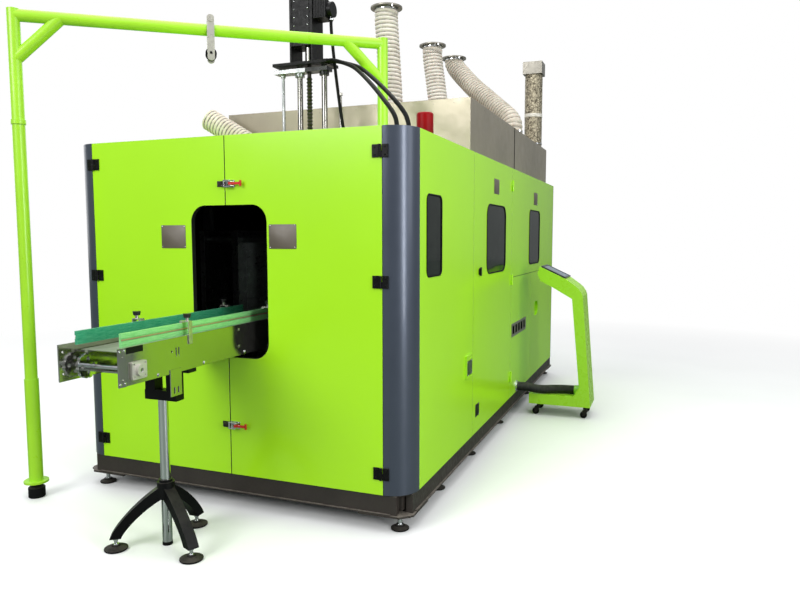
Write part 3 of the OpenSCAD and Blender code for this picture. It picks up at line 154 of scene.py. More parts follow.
class Tree:
    """Fills a node tree. An input is given as a value or as the output that it is linked to."""

    def __init__(self, tree):
        self.tree = tree
        tree.nodes.clear()

    def put(self, socket, value):
        if isinstance(value, bpy.types.NodeSocket):
            self.tree.links.new(value, socket)
        else:
            socket.default_value = value

    def node(self, kind, inputs=None, **settings):
        made = self.tree.nodes.new("ShaderNode" + kind)
        for key, value in settings.items():
            setattr(made, key, value)
        for key, value in (inputs or {}).items():
            self.put(made.inputs[key], value)
        return made


class Look(Tree):
    """A material with one principled shader, patterned along its object's own axes."""

    def __init__(self, name):
        self.material = bpy.data.materials.new(name)
        self.material.use_nodes = True
        super().__init__(self.material.node_tree)
        self.shader = self.node("BsdfPrincipled")
        self.output = self.node("OutputMaterial", {"Surface": self.shader.outputs["BSDF"]})
        self.place = self.node("TexCoord").outputs["Object"]

    def set(self, **inputs):
        for key, value in inputs.items():
            self.put(self.shader.inputs[key.replace("_", " ")], value)

    def scaled(self, factors):
        return self.node("Mapping", {"Vector": self.place, "Scale": factors}).outputs[0]

    def noise(self, scale, detail=3.0, rough=0.5, stretch=(1, 1, 1)):
        inputs = {"Vector": self.scaled(stretch), "Scale": scale, "Detail": detail, "Roughness": rough}
        return self.node("TexNoise", inputs).outputs[0]

    def ribs(self, scale, axis):
        inputs = {"Vector": self.place, "Scale": scale, "Distortion": 0.0}
        return self.node("TexWave", inputs, bands_direction=axis).outputs[1]

    def mix(self, factor, a, b):
        """Colour a where the factor is 0 and b where it is 1."""
        return self.node("Mix", {0: factor, 6: a, 7: b}, data_type="RGBA").outputs[2]

    def ramp(self, value, start, end, low=0.0, high=1.0):
        """Runs from low to high while the value goes from start to end, and stays there beyond."""
        inputs = {0: value, 1: start, 2: end, 3: low, 4: high}
        return self.node("MapRange", inputs, clamp=True).outputs[0]

    def math(self, operation, a, b=0.0):
        return self.node("Math", {0: a, 1: b}, operation=operation).outputs[0]

    def both(self, a, b):
        return self.math("MULTIPLY", a, b)

    def away(self, value, centre):
        """Distance to either side of a centre."""
        return self.math("ABSOLUTE", self.math("SUBTRACT", value, centre))

    def xyz(self):
        return self.node("SeparateXYZ", {0: self.place}).outputs

    def upward(self):
        """1 on level tops, 0 on upright faces and -1 on undersides."""
        normal = self.node("NewGeometry").outputs["Normal"]
        return self.node("SeparateXYZ", {0: normal}).outputs[2]

    def rounded(self, radius):
        """The surface's direction as if its edges were rounded."""
        return self.node("Bevel", {"Radius": radius}, samples=4).outputs[0]

    def edges(self, soft):
        """1 along the edges and 0 on flat faces, from the rounded direction."""
        hard = self.node("NewGeometry").outputs["True Normal"]
        same = self.node("VectorMath", {0: soft, 1: hard}, operation="DOT_PRODUCT").outputs["Value"]
        return self.ramp(same, 0.995, 0.86)

    def bump(self, height, strength, distance, normal=None):
        inputs = {"Height": height, "Strength": strength, "Distance": distance}
        if normal is not None:
            inputs["Normal"] = normal
        return self.node("Bump", inputs).outputs[0]


DUST = rgb(176, 168, 154)
# Colour of the painted shade on faces inside the cabinet
PAINTED_INSIDE_SHADE = rgb(32, 35, 31)


def surface(name, colour, *, dark, scale, rough, spread, grain, depth, metal=0.0, stretch=(1, 1, 1),
            coat=0.0, worn=None, radius=0.002, dust=0.0, shade_inside=None, spec=0.5):
    """Painted, plated or moulded surface with tone changes, smudges, grain, dust and worn edges, and
    painted shade where it looks into the cabinet.
    """
    look = Look(name)
    base = look.mix(look.ramp(look.noise(scale, 4), 0.35, 0.68), colour, shade(colour, dark))
    fine = look.noise(grain, 3, 0.6, stretch)
    base = look.mix(look.ramp(fine, 0.3, 0.8, 0.0, 0.35), base, shade(colour, dark * 0.9))
    soft = look.rounded(radius)
    if worn:
        chips = look.both(look.edges(soft), look.ramp(look.noise(70, 5, 0.7), 0.46, 0.62))
        base = look.mix(chips, base, worn)
    if dust:
        level = look.ramp(look.upward(), 0.55, 0.95, 0, dust)
        lies = look.both(level, look.ramp(look.noise(18, 6, 0.7), 0.25, 0.7))
        base = look.mix(lies, base, DUST)
    # Painted shade: faces that look into the cabinet take a dark colour in place of the shade in there
    if shade_inside:
        base = look.mix(shade_inside(look), base, PAINTED_INSIDE_SHADE)
    smudge = look.noise(scale * 7, 6, 0.65)
    look.set(Base_Color=base, Metallic=metal, Coat_Weight=coat, Coat_Roughness=0.09,
             Specular_IOR_Level=spec, Normal=look.bump(fine, depth, 0.0006, soft),
             Roughness=look.ramp(smudge, 0.3, 0.72, max(rough - spread, 0.02), rough + spread))
    return look.material


def within(look):
    """1 on faces about a millimetre or more behind the cabinet's outside, which look into it; there the
    paint is darkened as painted shade.

    The low cover's cup grip reaches in as well, and stays 0 like the outside."""
    skin = 0.5
    x, y, z = look.xyz()
    middle = at(MID, CABINET_LEN / 2, 0)
    to_side = look.math("SUBTRACT", (CABINET_W / 2 - skin) / 1000, look.away(x, middle.x))
    to_end = look.math("SUBTRACT", (CABINET_LEN / 2 - skin) / 1000, look.away(y, middle.y))
    to_roof = look.math("SUBTRACT", (CABINET_H - skin) / 1000, z)
    depth = look.math("MINIMUM", look.math("MINIMUM", to_side, to_end), to_roof)
    cup = at(0, *CUP_MID)
    past_y = look.math("SUBTRACT", look.away(y, cup.y), CUP_HALF[0] / 1000)
    past_z = look.math("SUBTRACT", look.away(z, cup.z), CUP_HALF[1] / 1000)
    shade_inside = look.ramp(depth, 0.0006, 0.0011)
    outside_cup = look.ramp(look.math("MAXIMUM", past_y, past_z), 0.0, 0.004)
    return look.both(shade_inside, outside_cup)


def tinted_glass():
    look = Look("tinted_glass")
    smear = look.noise(9, 5, 0.7)
    look.set(Base_Color=look.mix(look.ramp(smear, 0.35, 0.7), rgb(24, 28, 25), rgb(38, 43, 38)),
             Roughness=look.ramp(smear, 0.35, 0.75, 0.03, 0.16), Alpha=0.84, IOR=1.5, Coat_Weight=0.05,
             Coat_Roughness=0.03, Specular_IOR_Level=0.2, Normal=look.bump(look.noise(1.7, 2), 0.06, 0.01))
    return look.material


def red_lens():
    """Ribbed beacon cap, darker red towards its foot."""
    look = Look("red_lens")
    foot = CABINET_H / 1000
    height = look.ramp(look.xyz()[2], foot + 0.01, foot + 0.1)
    look.set(Base_Color=look.mix(height, rgb(116, 6, 12), rgb(140, 10, 16)),
             Roughness=look.ramp(look.noise(40, 4), 0.3, 0.7, 0.28, 0.42), Specular_IOR_Level=0.12,
             Normal=look.bump(look.ribs(60.0, "Z"), 0.25, 0.0015))
    return look.material


def duct_valleys(look):
    """1 in the valleys that are modelled between the turns of a duct."""
    return look.ramp(look.node("NewGeometry").outputs["Pointiness"], 0.455, 0.512, 1.0, 0.0)


def sleeve_valleys(look):
    """1 half way between two turns of the roof sleeve, which leans out 30 degrees above level."""
    x, _, z = look.xyz()
    end = at(*SLEEVE_END)
    run = look.math("MULTIPLY", look.math("SUBTRACT", x, end.x), 0.866)
    fall = look.math("MULTIPLY", look.math("SUBTRACT", z, end.z), 0.5)
    turns = look.math("DIVIDE", look.math("SUBTRACT", run, fall), SLEEVE_PITCH / 1000)
    return look.ramp(look.away(look.math("FRACT", turns), 0.5), 0.06, 0.26, 1.0, 0.0)


def duct_cloth(name, colour, dirty, fold_dirt, valleys=duct_valleys):
    """Coated fabric over a wire: painted shade in the creases between the turns, grubby where it folds."""
    look = Look(name)
    fold = look.noise(26, 5, 0.6, (1, 1, 2.2))
    weave = look.noise(900, 2, 0.5)
    stain = look.ramp(look.noise(4.5, 6, 0.7), 0.42, 0.72)
    base = look.mix(stain, colour, dirty)
    base = look.mix(look.ramp(fold, 0.52, 0.8, 0, fold_dirt), base, shade(dirty, 0.75))
    # Painted shade: the cloth is darkened, in patches, in the valleys between the turns
    crease_shade = look.both(valleys(look), look.ramp(look.noise(60, 4, 0.7), 0.34, 0.58, 0.3, 1.0))
    base = look.mix(crease_shade, base, rgb(58, 50, 44))
    height = look.math("ADD", fold, look.math("MULTIPLY", weave, 0.15))
    look.set(Base_Color=base, Roughness=look.ramp(fold, 0.3, 0.7, 0.5, 0.75), Subsurface_Weight=0.05,
             Sheen_Weight=0.1, Normal=look.bump(height, 0.45, 0.003))
    return look.material


def duct_foil():
    """Crumpled foil with a smooth bright clamp band."""
    look = Look("duct_foil")
    cells = {"Vector": look.scaled((1, 1, 1.6)), "Scale": 52.0, "Randomness": 1.0}
    wrinkle = look.node("TexVoronoi", cells, feature="F1").outputs[0]
    fine = look.noise(120, 5, 0.7)
    tone = look.ramp(look.noise(44, 6, 0.75), 0.4, 0.6)
    z = look.xyz()[2]
    low, high = FOIL_BAND
    band = look.both(look.ramp(z, (low + 1) / 1000, (low + 5) / 1000),
                     look.ramp(z, (high - 5) / 1000, (high - 1) / 1000, 1.0, 0.0))
    crumpled = look.mix(tone, rgb(196, 186, 160), rgb(74, 66, 52))
    look.set(Base_Color=look.mix(band, crumpled, rgb(226, 222, 210)),
             Metallic=look.ramp(band, 0.0, 1.0, 0.6, 0.2), Roughness=look.ramp(fine, 0.3, 0.7, 0.28, 0.5),
             Normal=look.bump(look.math("ADD", wrinkle, fine), 0.8, 0.006))
    return look.material


def ribbed_conduit():
    """Ribbed black sleeve over the console's leads."""
    look = Look("ribbed_conduit")
    grime = look.noise(30, 5, 0.7)
    lies = look.both(look.ramp(look.upward(), 0.4, 0.95, 0, 0.35), look.ramp(grime, 0.35, 0.7))
    black = look.mix(look.ramp(grime, 0.3, 0.7), rgb(16, 16, 17), rgb(28, 28, 29))
    look.set(Base_Color=look.mix(lies, black, rgb(120, 114, 104)),
             Roughness=look.ramp(grime, 0.3, 0.7, 0.4, 0.62),
             Normal=look.bump(look.ribs(26.0, "X"), 0.8, 0.004))
    return look.material


def carriage_steel():
    """Crosshead: bright plate at the rod's end, blackened block beside the screw."""
    look = Look("carriage_steel")
    start = at(BLACK_FROM_X, 0, 0).x
    black = look.ramp(look.xyz()[0], start - 0.002, start)
    wear = look.noise(22, 5, 0.65)
    soft = look.rounded(0.002)
    rubbed = look.both(look.edges(soft), look.ramp(wear, 0.4, 0.6))
    light = look.mix(look.ramp(wear, 0.35, 0.7), rgb(186, 188, 190), rgb(150, 152, 154))
    dark = look.mix(rubbed, rgb(26, 27, 29), rgb(120, 120, 118))
    look.set(Base_Color=look.mix(black, light, dark), Metallic=look.ramp(black, 0.0, 1.0, 0.9, 0.2),
             Roughness=look.ramp(wear, 0.3, 0.7, 0.22, 0.4),
             Normal=look.bump(look.noise(300, 3), 0.1, 0.0005, soft))
    return look.material


def bracket_steel():
    """Steel angle with a black plastic knob on top."""
    look = Look("bracket_steel")
    knob = look.ramp(look.xyz()[2], KNOB_Z / 1000, (KNOB_Z + 1) / 1000)
    wear = look.noise(40, 5, 0.65)
    soft = look.rounded(0.0015)
    rubbed = look.both(look.edges(soft), look.ramp(wear, 0.45, 0.6))
    steel = look.mix(look.ramp(wear, 0.35, 0.7), rgb(204, 202, 194), rgb(168, 166, 158))
    black = look.mix(rubbed, rgb(22, 22, 23), rgb(70, 70, 68))
    look.set(Base_Color=look.mix(knob, steel, black), Metallic=look.ramp(knob, 0.0, 1.0, 0.85, 0.0),
             Roughness=look.ramp(wear, 0.3, 0.7, 0.24, 0.42),
             Normal=look.bump(look.noise(320, 3), 0.1, 0.0004, soft))
    return look.material


def guide_plastic():
    """Guide planks: the near one light green, the far one deep green."""
    look = Look("guide_plastic")
    between = at(NEAR - CONVEYOR_W / 2, 0, 0).x
    near = look.ramp(look.xyz()[0], between - 0.001, between + 0.001)
    scratch = look.noise(60, 5, 0.7, (8, 0.25, 8))
    worn = look.ramp(scratch, 0.4, 0.75)
    deep = look.mix(worn, rgb(44, 142, 104), rgb(78, 174, 132))
    light = look.mix(worn, rgb(120, 204, 120), rgb(160, 222, 150))
    soft = look.rounded(0.0015)
    look.set(Base_Color=look.mix(look.edges(soft), look.mix(near, deep, light), rgb(150, 220, 170)),
             Roughness=look.ramp(scratch, 0.3, 0.7, 0.18, 0.38), Subsurface_Weight=0.15,
             Subsurface_Radius=(0.004, 0.01, 0.006), Coat_Weight=0.2,
             Normal=look.bump(scratch, 0.15, 0.0006, soft))
    return look.material


def screen_bezel():
    look = Look("screen_bezel")
    tone = look.ramp(look.noise(14, 4), 0.4, 0.7)
    look.set(Base_Color=look.mix(tone, rgb(40, 44, 50), rgb(58, 62, 68)), Roughness=0.34, Coat_Weight=0.2,
             Normal=look.bump(look.noise(600, 2), 0.1, 0.0004, look.rounded(0.002)))
    return look.material


def screen_glass():
    """Display glass: a pale bluish panel field with plain darker tiles."""
    look = Look("screen_glass")
    tiles = look.node("TexBrick", {
        "Vector": look.place, "Color1": rgb(120, 160, 190), "Color2": rgb(60, 96, 128),
        "Mortar": rgb(16, 24, 34), "Scale": 9.0, "Mortar Size": 0.035, "Bias": 0.1,
        "Brick Width": 0.62, "Row Height": 0.42}).outputs[0]
    haze = look.mix(look.ramp(look.noise(30, 4), 0.3, 0.8, 0.0, 0.5), tiles, rgb(160, 184, 200))
    look.set(Base_Color=look.mix(0.4, haze, rgb(18, 24, 32)), Roughness=0.1, Coat_Weight=0.8,
             Coat_Roughness=0.04, Emission_Color=haze, Emission_Strength=0.35,
             Normal=look.bump(look.noise(90, 4), 0.02, 0.0003))
    return look.material


LOOKS = {
    # Paints
    "lime": surface("lime_paint", rgb(172, 236, 30), dark=0.93, scale=0.8, rough=0.24, spread=0.02,
                    grain=700, depth=0.02, coat=0.15, radius=0.003, worn=rgb(190, 205, 150), shade_inside=within),
    "console": surface("console_paint", rgb(168, 228, 52), dark=0.93, scale=1.5, rough=0.28, spread=0.03,
                       grain=160, depth=0.004, coat=0.15),
    "gantry": surface("gantry_paint", rgb(166, 226, 44), dark=0.88, scale=3, rough=0.32, spread=0.06,
                      grain=420, depth=0.03, coat=0.15, worn=rgb(150, 160, 120)),
    "column": surface("column_paint", rgb(76, 83, 97), dark=0.9, scale=2, rough=0.33, spread=0.03,
                      metal=0.5, grain=500, depth=0.02, coat=0.15, worn=rgb(120, 125, 130)),
    "base": surface("base_paint", rgb(54, 48, 43), dark=0.7, scale=5, rough=0.5, spread=0.14, metal=0.1,
                    grain=160, depth=0.2, worn=rgb(120, 112, 100), dust=0.5),
    "black": surface("black_paint", rgb(12, 12, 13), dark=0.6, scale=6, rough=0.38, spread=0.12, grain=260,
                     depth=0.14, worn=rgb(60, 58, 54), dust=0.08, spec=0.16),
    "flap": surface("socket_flap", rgb(44, 62, 34), dark=0.8, scale=9, rough=0.3, spread=0.08, grain=400,
                    depth=0.05, coat=0.2),

    # Metals
    "frame": surface("frame_aluminium", rgb(176, 180, 182), dark=0.8, scale=4, rough=0.38, spread=0.08,
                     metal=0.9, grain=260, depth=0.1, stretch=(6, 6, 0.4), dust=0.3),
    "hood": surface("hood_steel", rgb(172, 163, 145), dark=0.76, scale=1.4, rough=0.38, spread=0.08,
                    metal=0.62, grain=90, depth=0.1, stretch=(5, 5, 0.12), radius=0.003,
                    worn=rgb(225, 222, 215), dust=0.25),
    "mirror": surface("bright_steel", rgb(190, 188, 180), dark=0.85, scale=2, rough=0.13, spread=0.05,
                      metal=0.96, grain=200, depth=0.05, stretch=(6, 0.3, 6), dust=0.12),
    "chrome": surface("chrome", rgb(222, 224, 226), dark=0.9, scale=6, rough=0.09, spread=0.05, metal=1.0,
                      grain=500, depth=0.03, radius=0.0015),
    "rod": surface("guide_rod", rgb(150, 148, 142), dark=0.85, scale=6, rough=0.16, spread=0.05, metal=1.0,
                   grain=500, depth=0.03, radius=0.0015),
    "tool": surface("tool_steel", rgb(168, 170, 170), dark=0.75, scale=7, rough=0.34, spread=0.12,
                    metal=0.9, grain=240, depth=0.12, worn=rgb(214, 214, 210), dust=0.2),
    "trolley": surface("trolley_steel", rgb(206, 202, 192), dark=0.86, scale=6, rough=0.32, spread=0.08,
                       metal=0.55, grain=160, depth=0.1, radius=0.0015),
    "gland": surface("dark_steel", rgb(62, 58, 54), dark=0.6, scale=12, rough=0.4, spread=0.15, metal=0.8,
                     grain=300, depth=0.2, worn=rgb(150, 145, 138)),
    "collar": surface("collar_steel", rgb(150, 146, 136), dark=0.8, scale=6, rough=0.4, spread=0.1,
                      metal=0.7, grain=160, depth=0.1, worn=rgb(190, 188, 180)),
    "plate": surface("sign_plate", rgb(96, 88, 76), dark=0.86, scale=12, rough=0.45, spread=0.06,
                     metal=0.05, grain=260, depth=0.08, stretch=(6, 6, 0.5)),
    "bearing": surface("bearing_steel", rgb(208, 206, 196), dark=0.85, scale=12, rough=0.34, spread=0.08,
                       metal=0.45, grain=260, depth=0.1, dust=0.2),
    "vent": surface("vent_steel", rgb(150, 150, 138), dark=0.8, scale=9, rough=0.34, spread=0.1, metal=0.7,
                    grain=300, depth=0.1, dust=0.3),
    "strip": surface("rail_strip", rgb(196, 168, 128), dark=0.8, scale=8, rough=0.35, spread=0.1,
                     metal=0.5, grain=200, depth=0.1, stretch=(6, 0.3, 6)),

    # Plastics and rubber
    "plastic": surface("black_plastic", rgb(13, 13, 14), dark=0.7, scale=8, rough=0.42, spread=0.1,
                       grain=500, depth=0.16, dust=0.06, spec=0.18),
    "rubber": surface("black_rubber", rgb(11, 11, 11), dark=0.7, scale=9, rough=0.62, spread=0.12,
                      grain=330, depth=0.25, dust=0.14, spec=0.16),
    "grip": surface("red_grip", rgb(206, 38, 26), dark=0.8, scale=20, rough=0.3, spread=0.1, grain=400,
                    depth=0.1, worn=rgb(150, 60, 50), radius=0.003),
    "chain": surface("chain_plastic", rgb(142, 150, 132), dark=0.75, scale=8, rough=0.45, spread=0.12,
                     grain=300, depth=0.15, dust=0.25),

    # Glass, cloth, foil and looks of more than one colour
    "glass": tinted_glass(),
    "lens": red_lens(),
    "duct": duct_cloth("duct_fabric", rgb(218, 212, 200), rgb(182, 174, 160), 0.4),
    # The slanted duct's cloth: the same fabric made darker, as painted shade
    "duct_shaded": duct_cloth("duct_fabric_shaded", rgb(200, 192, 176), rgb(158, 150, 134), 0.6),
    "sleeve": duct_cloth("sleeve_fabric", rgb(232, 222, 208), rgb(196, 182, 160), 0.5, sleeve_valleys),
    "foil": duct_foil(),
    "conduit": ribbed_conduit(),
    "bracket": bracket_steel(),
    "carriage": carriage_steel(),
    "rail": guide_plastic(),
    "bezel": screen_bezel(),
    "display": screen_glass(),
}

# Looks of the CAD nodes
CAD_LOOKS = {
    "lime": ("right_panels", "plain_panels", "door_left", "door_right", "side_door"),
    "glass": ("right_windows", "side_door_window"),
    "base": ("base_frame",),
    "column": ("corner_columns",),
    "black": ("hinge_frames", "hinge_leaves_left", "hinge_leaves_right", "servo_column", "stand_legs"),
    "console": ("console_body",),
    "bezel": ("console_screen",),
    "gantry": ("gantry_frame",),
    "trolley": ("trolley_plates",),
    "frame": ("inner_frame", "oven"),
    "tool": ("clamp_frame", "mould_left", "mould_right"),
    "hood": ("hood",),
    "vent": ("vent_grille",),
    "collar": ("duct_collars",),
    "duct": ("white_ducts",),
    "sleeve": ("roof_sleeve",),
    "foil": ("foil_duct",),
    "lens": ("beacon_lens",),
    "rod": ("guide_posts",),
    "carriage": ("stretch_carriage",),
    "mirror": ("conveyor_frame",),
    "chain": ("conveyor_chain",),
    "rail": ("guide_rails",),
    "bracket": ("rail_brackets",),
    "bearing": ("flange_bearings",),
    "grip": ("latch_lever_upper", "latch_lever_lower"),
    "gland": ("latch_keepers", "drive_screw", "castor_forks"),
    "chrome": ("foot_spindles", "cable_outlet", "latch_bases", "conveyor_shaft", "stand_pole"),
    "plastic": ("side_door_handle", "roof_fittings", "servo_motor", "trolley_roller"),
    "rubber": ("foot_pads", "castor_wheel_1", "castor_wheel_2", "castor_wheel_3", "castor_wheel_4",
               "motor_cable", "air_hose_a", "air_hose_b", "console_cable"),
}
LOOK_OF = {name: key for key, names in CAD_LOOKS.items() for name in names}
for name, obj in nodes.items():
    material = LOOKS[LOOK_OF[name]]
    if obj.data.materials:
        for slot in obj.material_slots:
            slot.material = material
    else:
        obj.data.materials.append(material)


# Places on the outside: across, up and outward, in millimetres
def on_side(y, z, out):
    return at(out, y, z)


def on_socket_box(y, z, out):
    return at(SOCKET_BOX_T + out, y, z)


def on_front(x, z, out):
    return at(x, -out, z)


# Mesh helpers
def piece(name, bm, look, body, smooth=True, bevel=0.0):
    """Makes the mesh a piece that rides on a body; bevel is the width of rounded edges in metres."""
    mesh = bpy.data.meshes.new(name)
    bmesh.ops.recalc_face_normals(bm, faces=bm.faces)
    bm.to_mesh(mesh)
    bm.free()
    mesh.materials.append(LOOKS[look])
    ob = add_object(name, mesh)
    if smooth:
        for face in mesh.polygons:
            face.use_smooth = True
        mesh.set_sharp_from_angle(angle=math.radians(38))
    if bevel:
        modifier = ob.modifiers.new("edge", "BEVEL")
        modifier.width = bevel
        modifier.segments = 2
        modifier.limit_method = "ANGLE"
    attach(ob, body)
    return ob


def add_box(bm, low, high):
    a, b = at(*low), at(*high)
    matrix = Matrix.Translation((a + b) / 2) @ Matrix.Diagonal((*(b - a), 1))
    bmesh.ops.create_cube(bm, size=1.0, matrix=matrix)


def bridge(bm, rows):
    """Faces between each closed row of points and the next."""
    for p, q in zip(rows, rows[1:]):
        for i in range(len(p)):
            j = (i + 1) % len(p)
            bm.faces.new((p[i], p[j], q[j], q[i]))


def ring(bm, centre, across, other, radii):
    """Points round a centre, each at its own radius in millimetres."""
    points = []
    for k, radius in enumerate(radii):
        turn = 2 * math.pi * k / len(radii)
        outward = across * math.cos(turn) + other * math.sin(turn)
        points.append(bm.verts.new(centre + outward * radius / 1000))
    return points


def turned(bm, origin, axis, profile, sides=24):
    """Adds a solid of revolution; the profile is (radius, height) along its axis, in millimetres."""
    axis = Vector(axis).normalized()
    across = axis.orthogonal().normalized()
    other = axis.cross(across)
    rings = []
    for r, h in profile:
        centre = at(*origin) + axis * h / 1000
        if r:
            rings.append(ring(bm, centre, across, other, [r] * sides))
        else:
            rings.append([bm.verts.new(centre)])
    for p, q in zip(rings, rings[1:]):
        for i in range(sides):
            j = (i + 1) % sides
            # A point on the axis comes twice, so its face is a triangle
            corners = dict.fromkeys((p[i % len(p)], p[j % len(p)], q[j % len(q)], q[i % len(q)]))
            bm.faces.new(list(corners))


def screw(bm, place, axis, r, h):
    """Button head with a hexagon socket."""
    head = [(r * 1.02, 0), (r, h * 0.35), (r * 0.82, h * 0.8), (r * 0.6, h), (r * 0.5, h)]
    turned(bm, place, axis, head, 18)
    turned(bm, place, axis, [(r * 0.5, h), (r * 0.48, h * 0.45), (0, h * 0.35)], 6)


def hex_head(bm, place, axis, r, h):
    """Hexagon head on its washer."""
    turned(bm, place, axis, [(r * 1.25, 0), (r * 1.25, h * 0.18), (r * 1.02, h * 0.18)], 18)
    turned(bm, place, axis, [(r, h * 0.16), (r, h * 0.9), (r * 0.88, h), (0, h)], 6)


def rivet(bm, place, axis, r):
    turned(bm, place, axis, [(r, 0), (r * 0.9, r * 0.35), (r * 0.5, r * 0.6), (0, r * 0.68)], 12)


def rounded_loop(low, high, r, steps=8):
    """Points round a rectangle with rounded corners."""
    corners = ((high[0] - r, high[1] - r, 0), (low[0] + r, high[1] - r, 90),
               (low[0] + r, low[1] + r, 180), (high[0] - r, low[1] + r, 270))
    points = []
    for u, v, start in corners:
        for i in range(steps + 1):
            turn = math.radians(start + 90 * i / steps)
            points.append((u + r * math.cos(turn), v + r * math.sin(turn)))
    return points


def loop_rows(bm, low, high, r, profile, place, steps=8):
    """A row of points round the rectangle for each (outward, height) of the profile."""
    rows = []
    for out, h in profile:
        loop = rounded_loop((low[0] - out, low[1] - out), (high[0] + out, high[1] + out), r + out, steps)
        rows.append([bm.verts.new(place(u, v, h)) for u, v in loop])
    return rows


def swept(bm, points, radius_at, sides):
    """Closed tube along points, with level ends; radius_at(i, k) in millimetres is for ring i, side k."""
    level = Vector((0.6, 0.8, 0.0))
    last = len(points) - 1
    rings = []
    for i, p in enumerate(points):
        along = (points[min(i + 1, last)] - points[max(i - 1, 0)]).normalized()
        if i in (0, last):
            along = Vector(UP)
        across = along.cross(level).normalized()
        radii = [radius_at(i, k) for k in range(sides)]
        rings.append(ring(bm, p, across, along.cross(across), radii))
    bridge(bm, rings)
    bm.faces.new(rings[0])
    bm.faces.new(rings[-1])


def smooth_line(places, steps):
    """Curve through measured places, with a number of steps between each two."""
    p = [at(*place) for place in places]
    line = []
    for i in range(len(p) - 1):
        a, b, c, d = p[max(i - 1, 0)], p[i], p[i + 1], p[min(i + 2, len(p) - 1)]
        for step in range(steps):
            t = step / steps
            square = (2 * a - 5 * b + 4 * c - d) * t * t
            cube = (3 * b - a - 3 * c + d) * t ** 3
            line.append(0.5 * (2 * b + (c - a) * t + square + cube))
    line.append(p[-1])
    return line


def even(points, step):
    """The same line with points a fixed step apart, ends kept."""
    run = [0.0]
    for a, b in zip(points, points[1:]):
        run.append(run[-1] + (b - a).length)
    count = max(2, round(run[-1] / step))
    line = []
    j = 0
    for i in range(count + 1):
        s = run[-1] * i / count
        while j < len(run) - 2 and run[j + 1] < s:
            j += 1
        line.append(points[j].lerp(points[j + 1], (s - run[j]) / max(run[j + 1] - run[j], 1e-9)))
    return line


# Cords, along the same points as their CAD solids
MOTOR_ROUTE = [(-992, 1110, 3066), (-992, 1110, 3030), (-984, 1111, 2920), (-960, 1113, 2700),
               (-928, 1118, 2450), (-900, 1124, 2270), (-894, 1126, 2210), (-894, 1126, 2168)]
HOSE_A_ROUTE = [(-989, 1044, 2785), (-948, 1044, 2784), (-864, 1004, 2754), (-732, 908, 2690),
                (-588, 740, 2590), (-436, 560, 2470), (-308, 424, 2355), (-230, 360, 2270),
                (-204, 340, 2210), (-202, 338, 2168)]
HOSE_B_ROUTE = [(-989, 1078, 2785), (-948, 1078, 2784), (-850, 1036, 2754), (-700, 930, 2690),
                (-548, 756, 2590), (-394, 580, 2476), (-256, 440, 2362), (-174, 388, 2272),
                (-146, 370, 2210), (-144, 368, 2168)]
CONSOLE_ROUTE = [(14, 2727, 262), (60, 2729, 260), (108, 2737, 255), (156, 2751, 245), (204, 2771, 238),
                 (252, 2799, 234), (300, 2827, 234), (348, 2847, 234), (396, 2861, 234), (444, 2868, 234),
                 (490, 2870, 234)]


def cord(name, route, d, node, look):
    pts = smooth_line(route, 4)
    curve = bpy.data.curves.new(name, "CURVE")
    curve.dimensions = "3D"
    curve.bevel_depth = d / 2000
    curve.bevel_resolution = 5
    spline = curve.splines.new("POLY")
    spline.points.add(len(pts) - 1)
    for point, p in zip(spline.points, pts):
        point.co = (*p, 1)
    spline.use_smooth = True
    curve.materials.append(LOOKS[look])
    ob = add_object(name, curve)
    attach(ob, "cabinet")
    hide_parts(node)


cord("motor_lead", MOTOR_ROUTE, 22, "motor_cable", "rubber")
cord("air_hose_front", HOSE_A_ROUTE, 26, "air_hose_a", "rubber")
cord("air_hose_rear", HOSE_B_ROUTE, 26, "air_hose_b", "rubber")
cord("console_lead", CONSOLE_ROUTE, 76, "console_cable", "conduit")


# Windows: rubber profile round each pane, as (outward, height)
GASKET = [(-5, -1.8), (-5, 2.4), (-2.5, 4), (2.5, 4), (5, 2.4), (5, 0.2), (-1, 0.2), (-1, -1.8)]


def gasket(name, low, high, r, body):
    bm = bmesh.new()
    rows = loop_rows(bm, low, high, r, GASKET, on_side)
    bridge(bm, rows + rows[:1])
    piece(name, bm, "rubber", body)


gasket("gasket_front", (263, WINDOW_Z + 45), (528, WINDOW_Z + WINDOW_H - 5), 38, "cabinet")
gasket("gasket_door", (1600, WINDOW_Z - 5), (2210, WINDOW_Z + WINDOW_H), 85, "access_door")
gasket("gasket_rear", (3230, WINDOW_Z + 5), (3780, WINDOW_Z + WINDOW_H + 15), 60, "cabinet")


# Bare sign plates, lock plate and socket flap, each with four rivets
def bare_plate(name, corner, width, height, r, place, outward, body, look):
    thick = 1.8
    inset = 8
    far = (corner[0] + width, corner[1] + height)
    bm = bmesh.new()
    rows = loop_rows(bm, corner, far, r, ((0, 0.1), (0, thick - 0.5), (-0.8, thick)), place, 5)
    bridge(bm, rows)
    bm.faces.new(rows[-1])
    bm.faces.new(list(reversed(rows[0])))
    piece(name, bm, look, body)
    bm = bmesh.new()
    for u in (corner[0] + inset, far[0] - inset):
        for v in (corner[1] + inset, far[1] - inset):
            rivet(bm, place(u, v, thick) * 1000 - SHIFT, outward, 3.2)
    piece(name + "_rivets", bm, "chrome", body)


bare_plate("sign_left", (MID - 450, 1519), 172, 134, 5, on_front, FRONT_OUT, "left_door", "plate")
bare_plate("sign_right", (MID + 281, 1519), 172, 134, 5, on_front, FRONT_OUT, "right_door", "plate")
bare_plate("side_plate_door", (1807, 1906), 164, 112, 5, on_side, RIGHT_OUT, "access_door", "plate")
bare_plate("side_plate_rear", (3445, 1893), 188, 117, 5, on_side, RIGHT_OUT, "cabinet", "plate")
bare_plate("lock_plate", (1318, 322), 100, 88, 4, on_side, RIGHT_OUT, "access_door", "plastic")
bare_plate("socket_flap", (1067, 664), 115, 98, 4, on_socket_box, RIGHT_OUT, "cabinet", "flap")


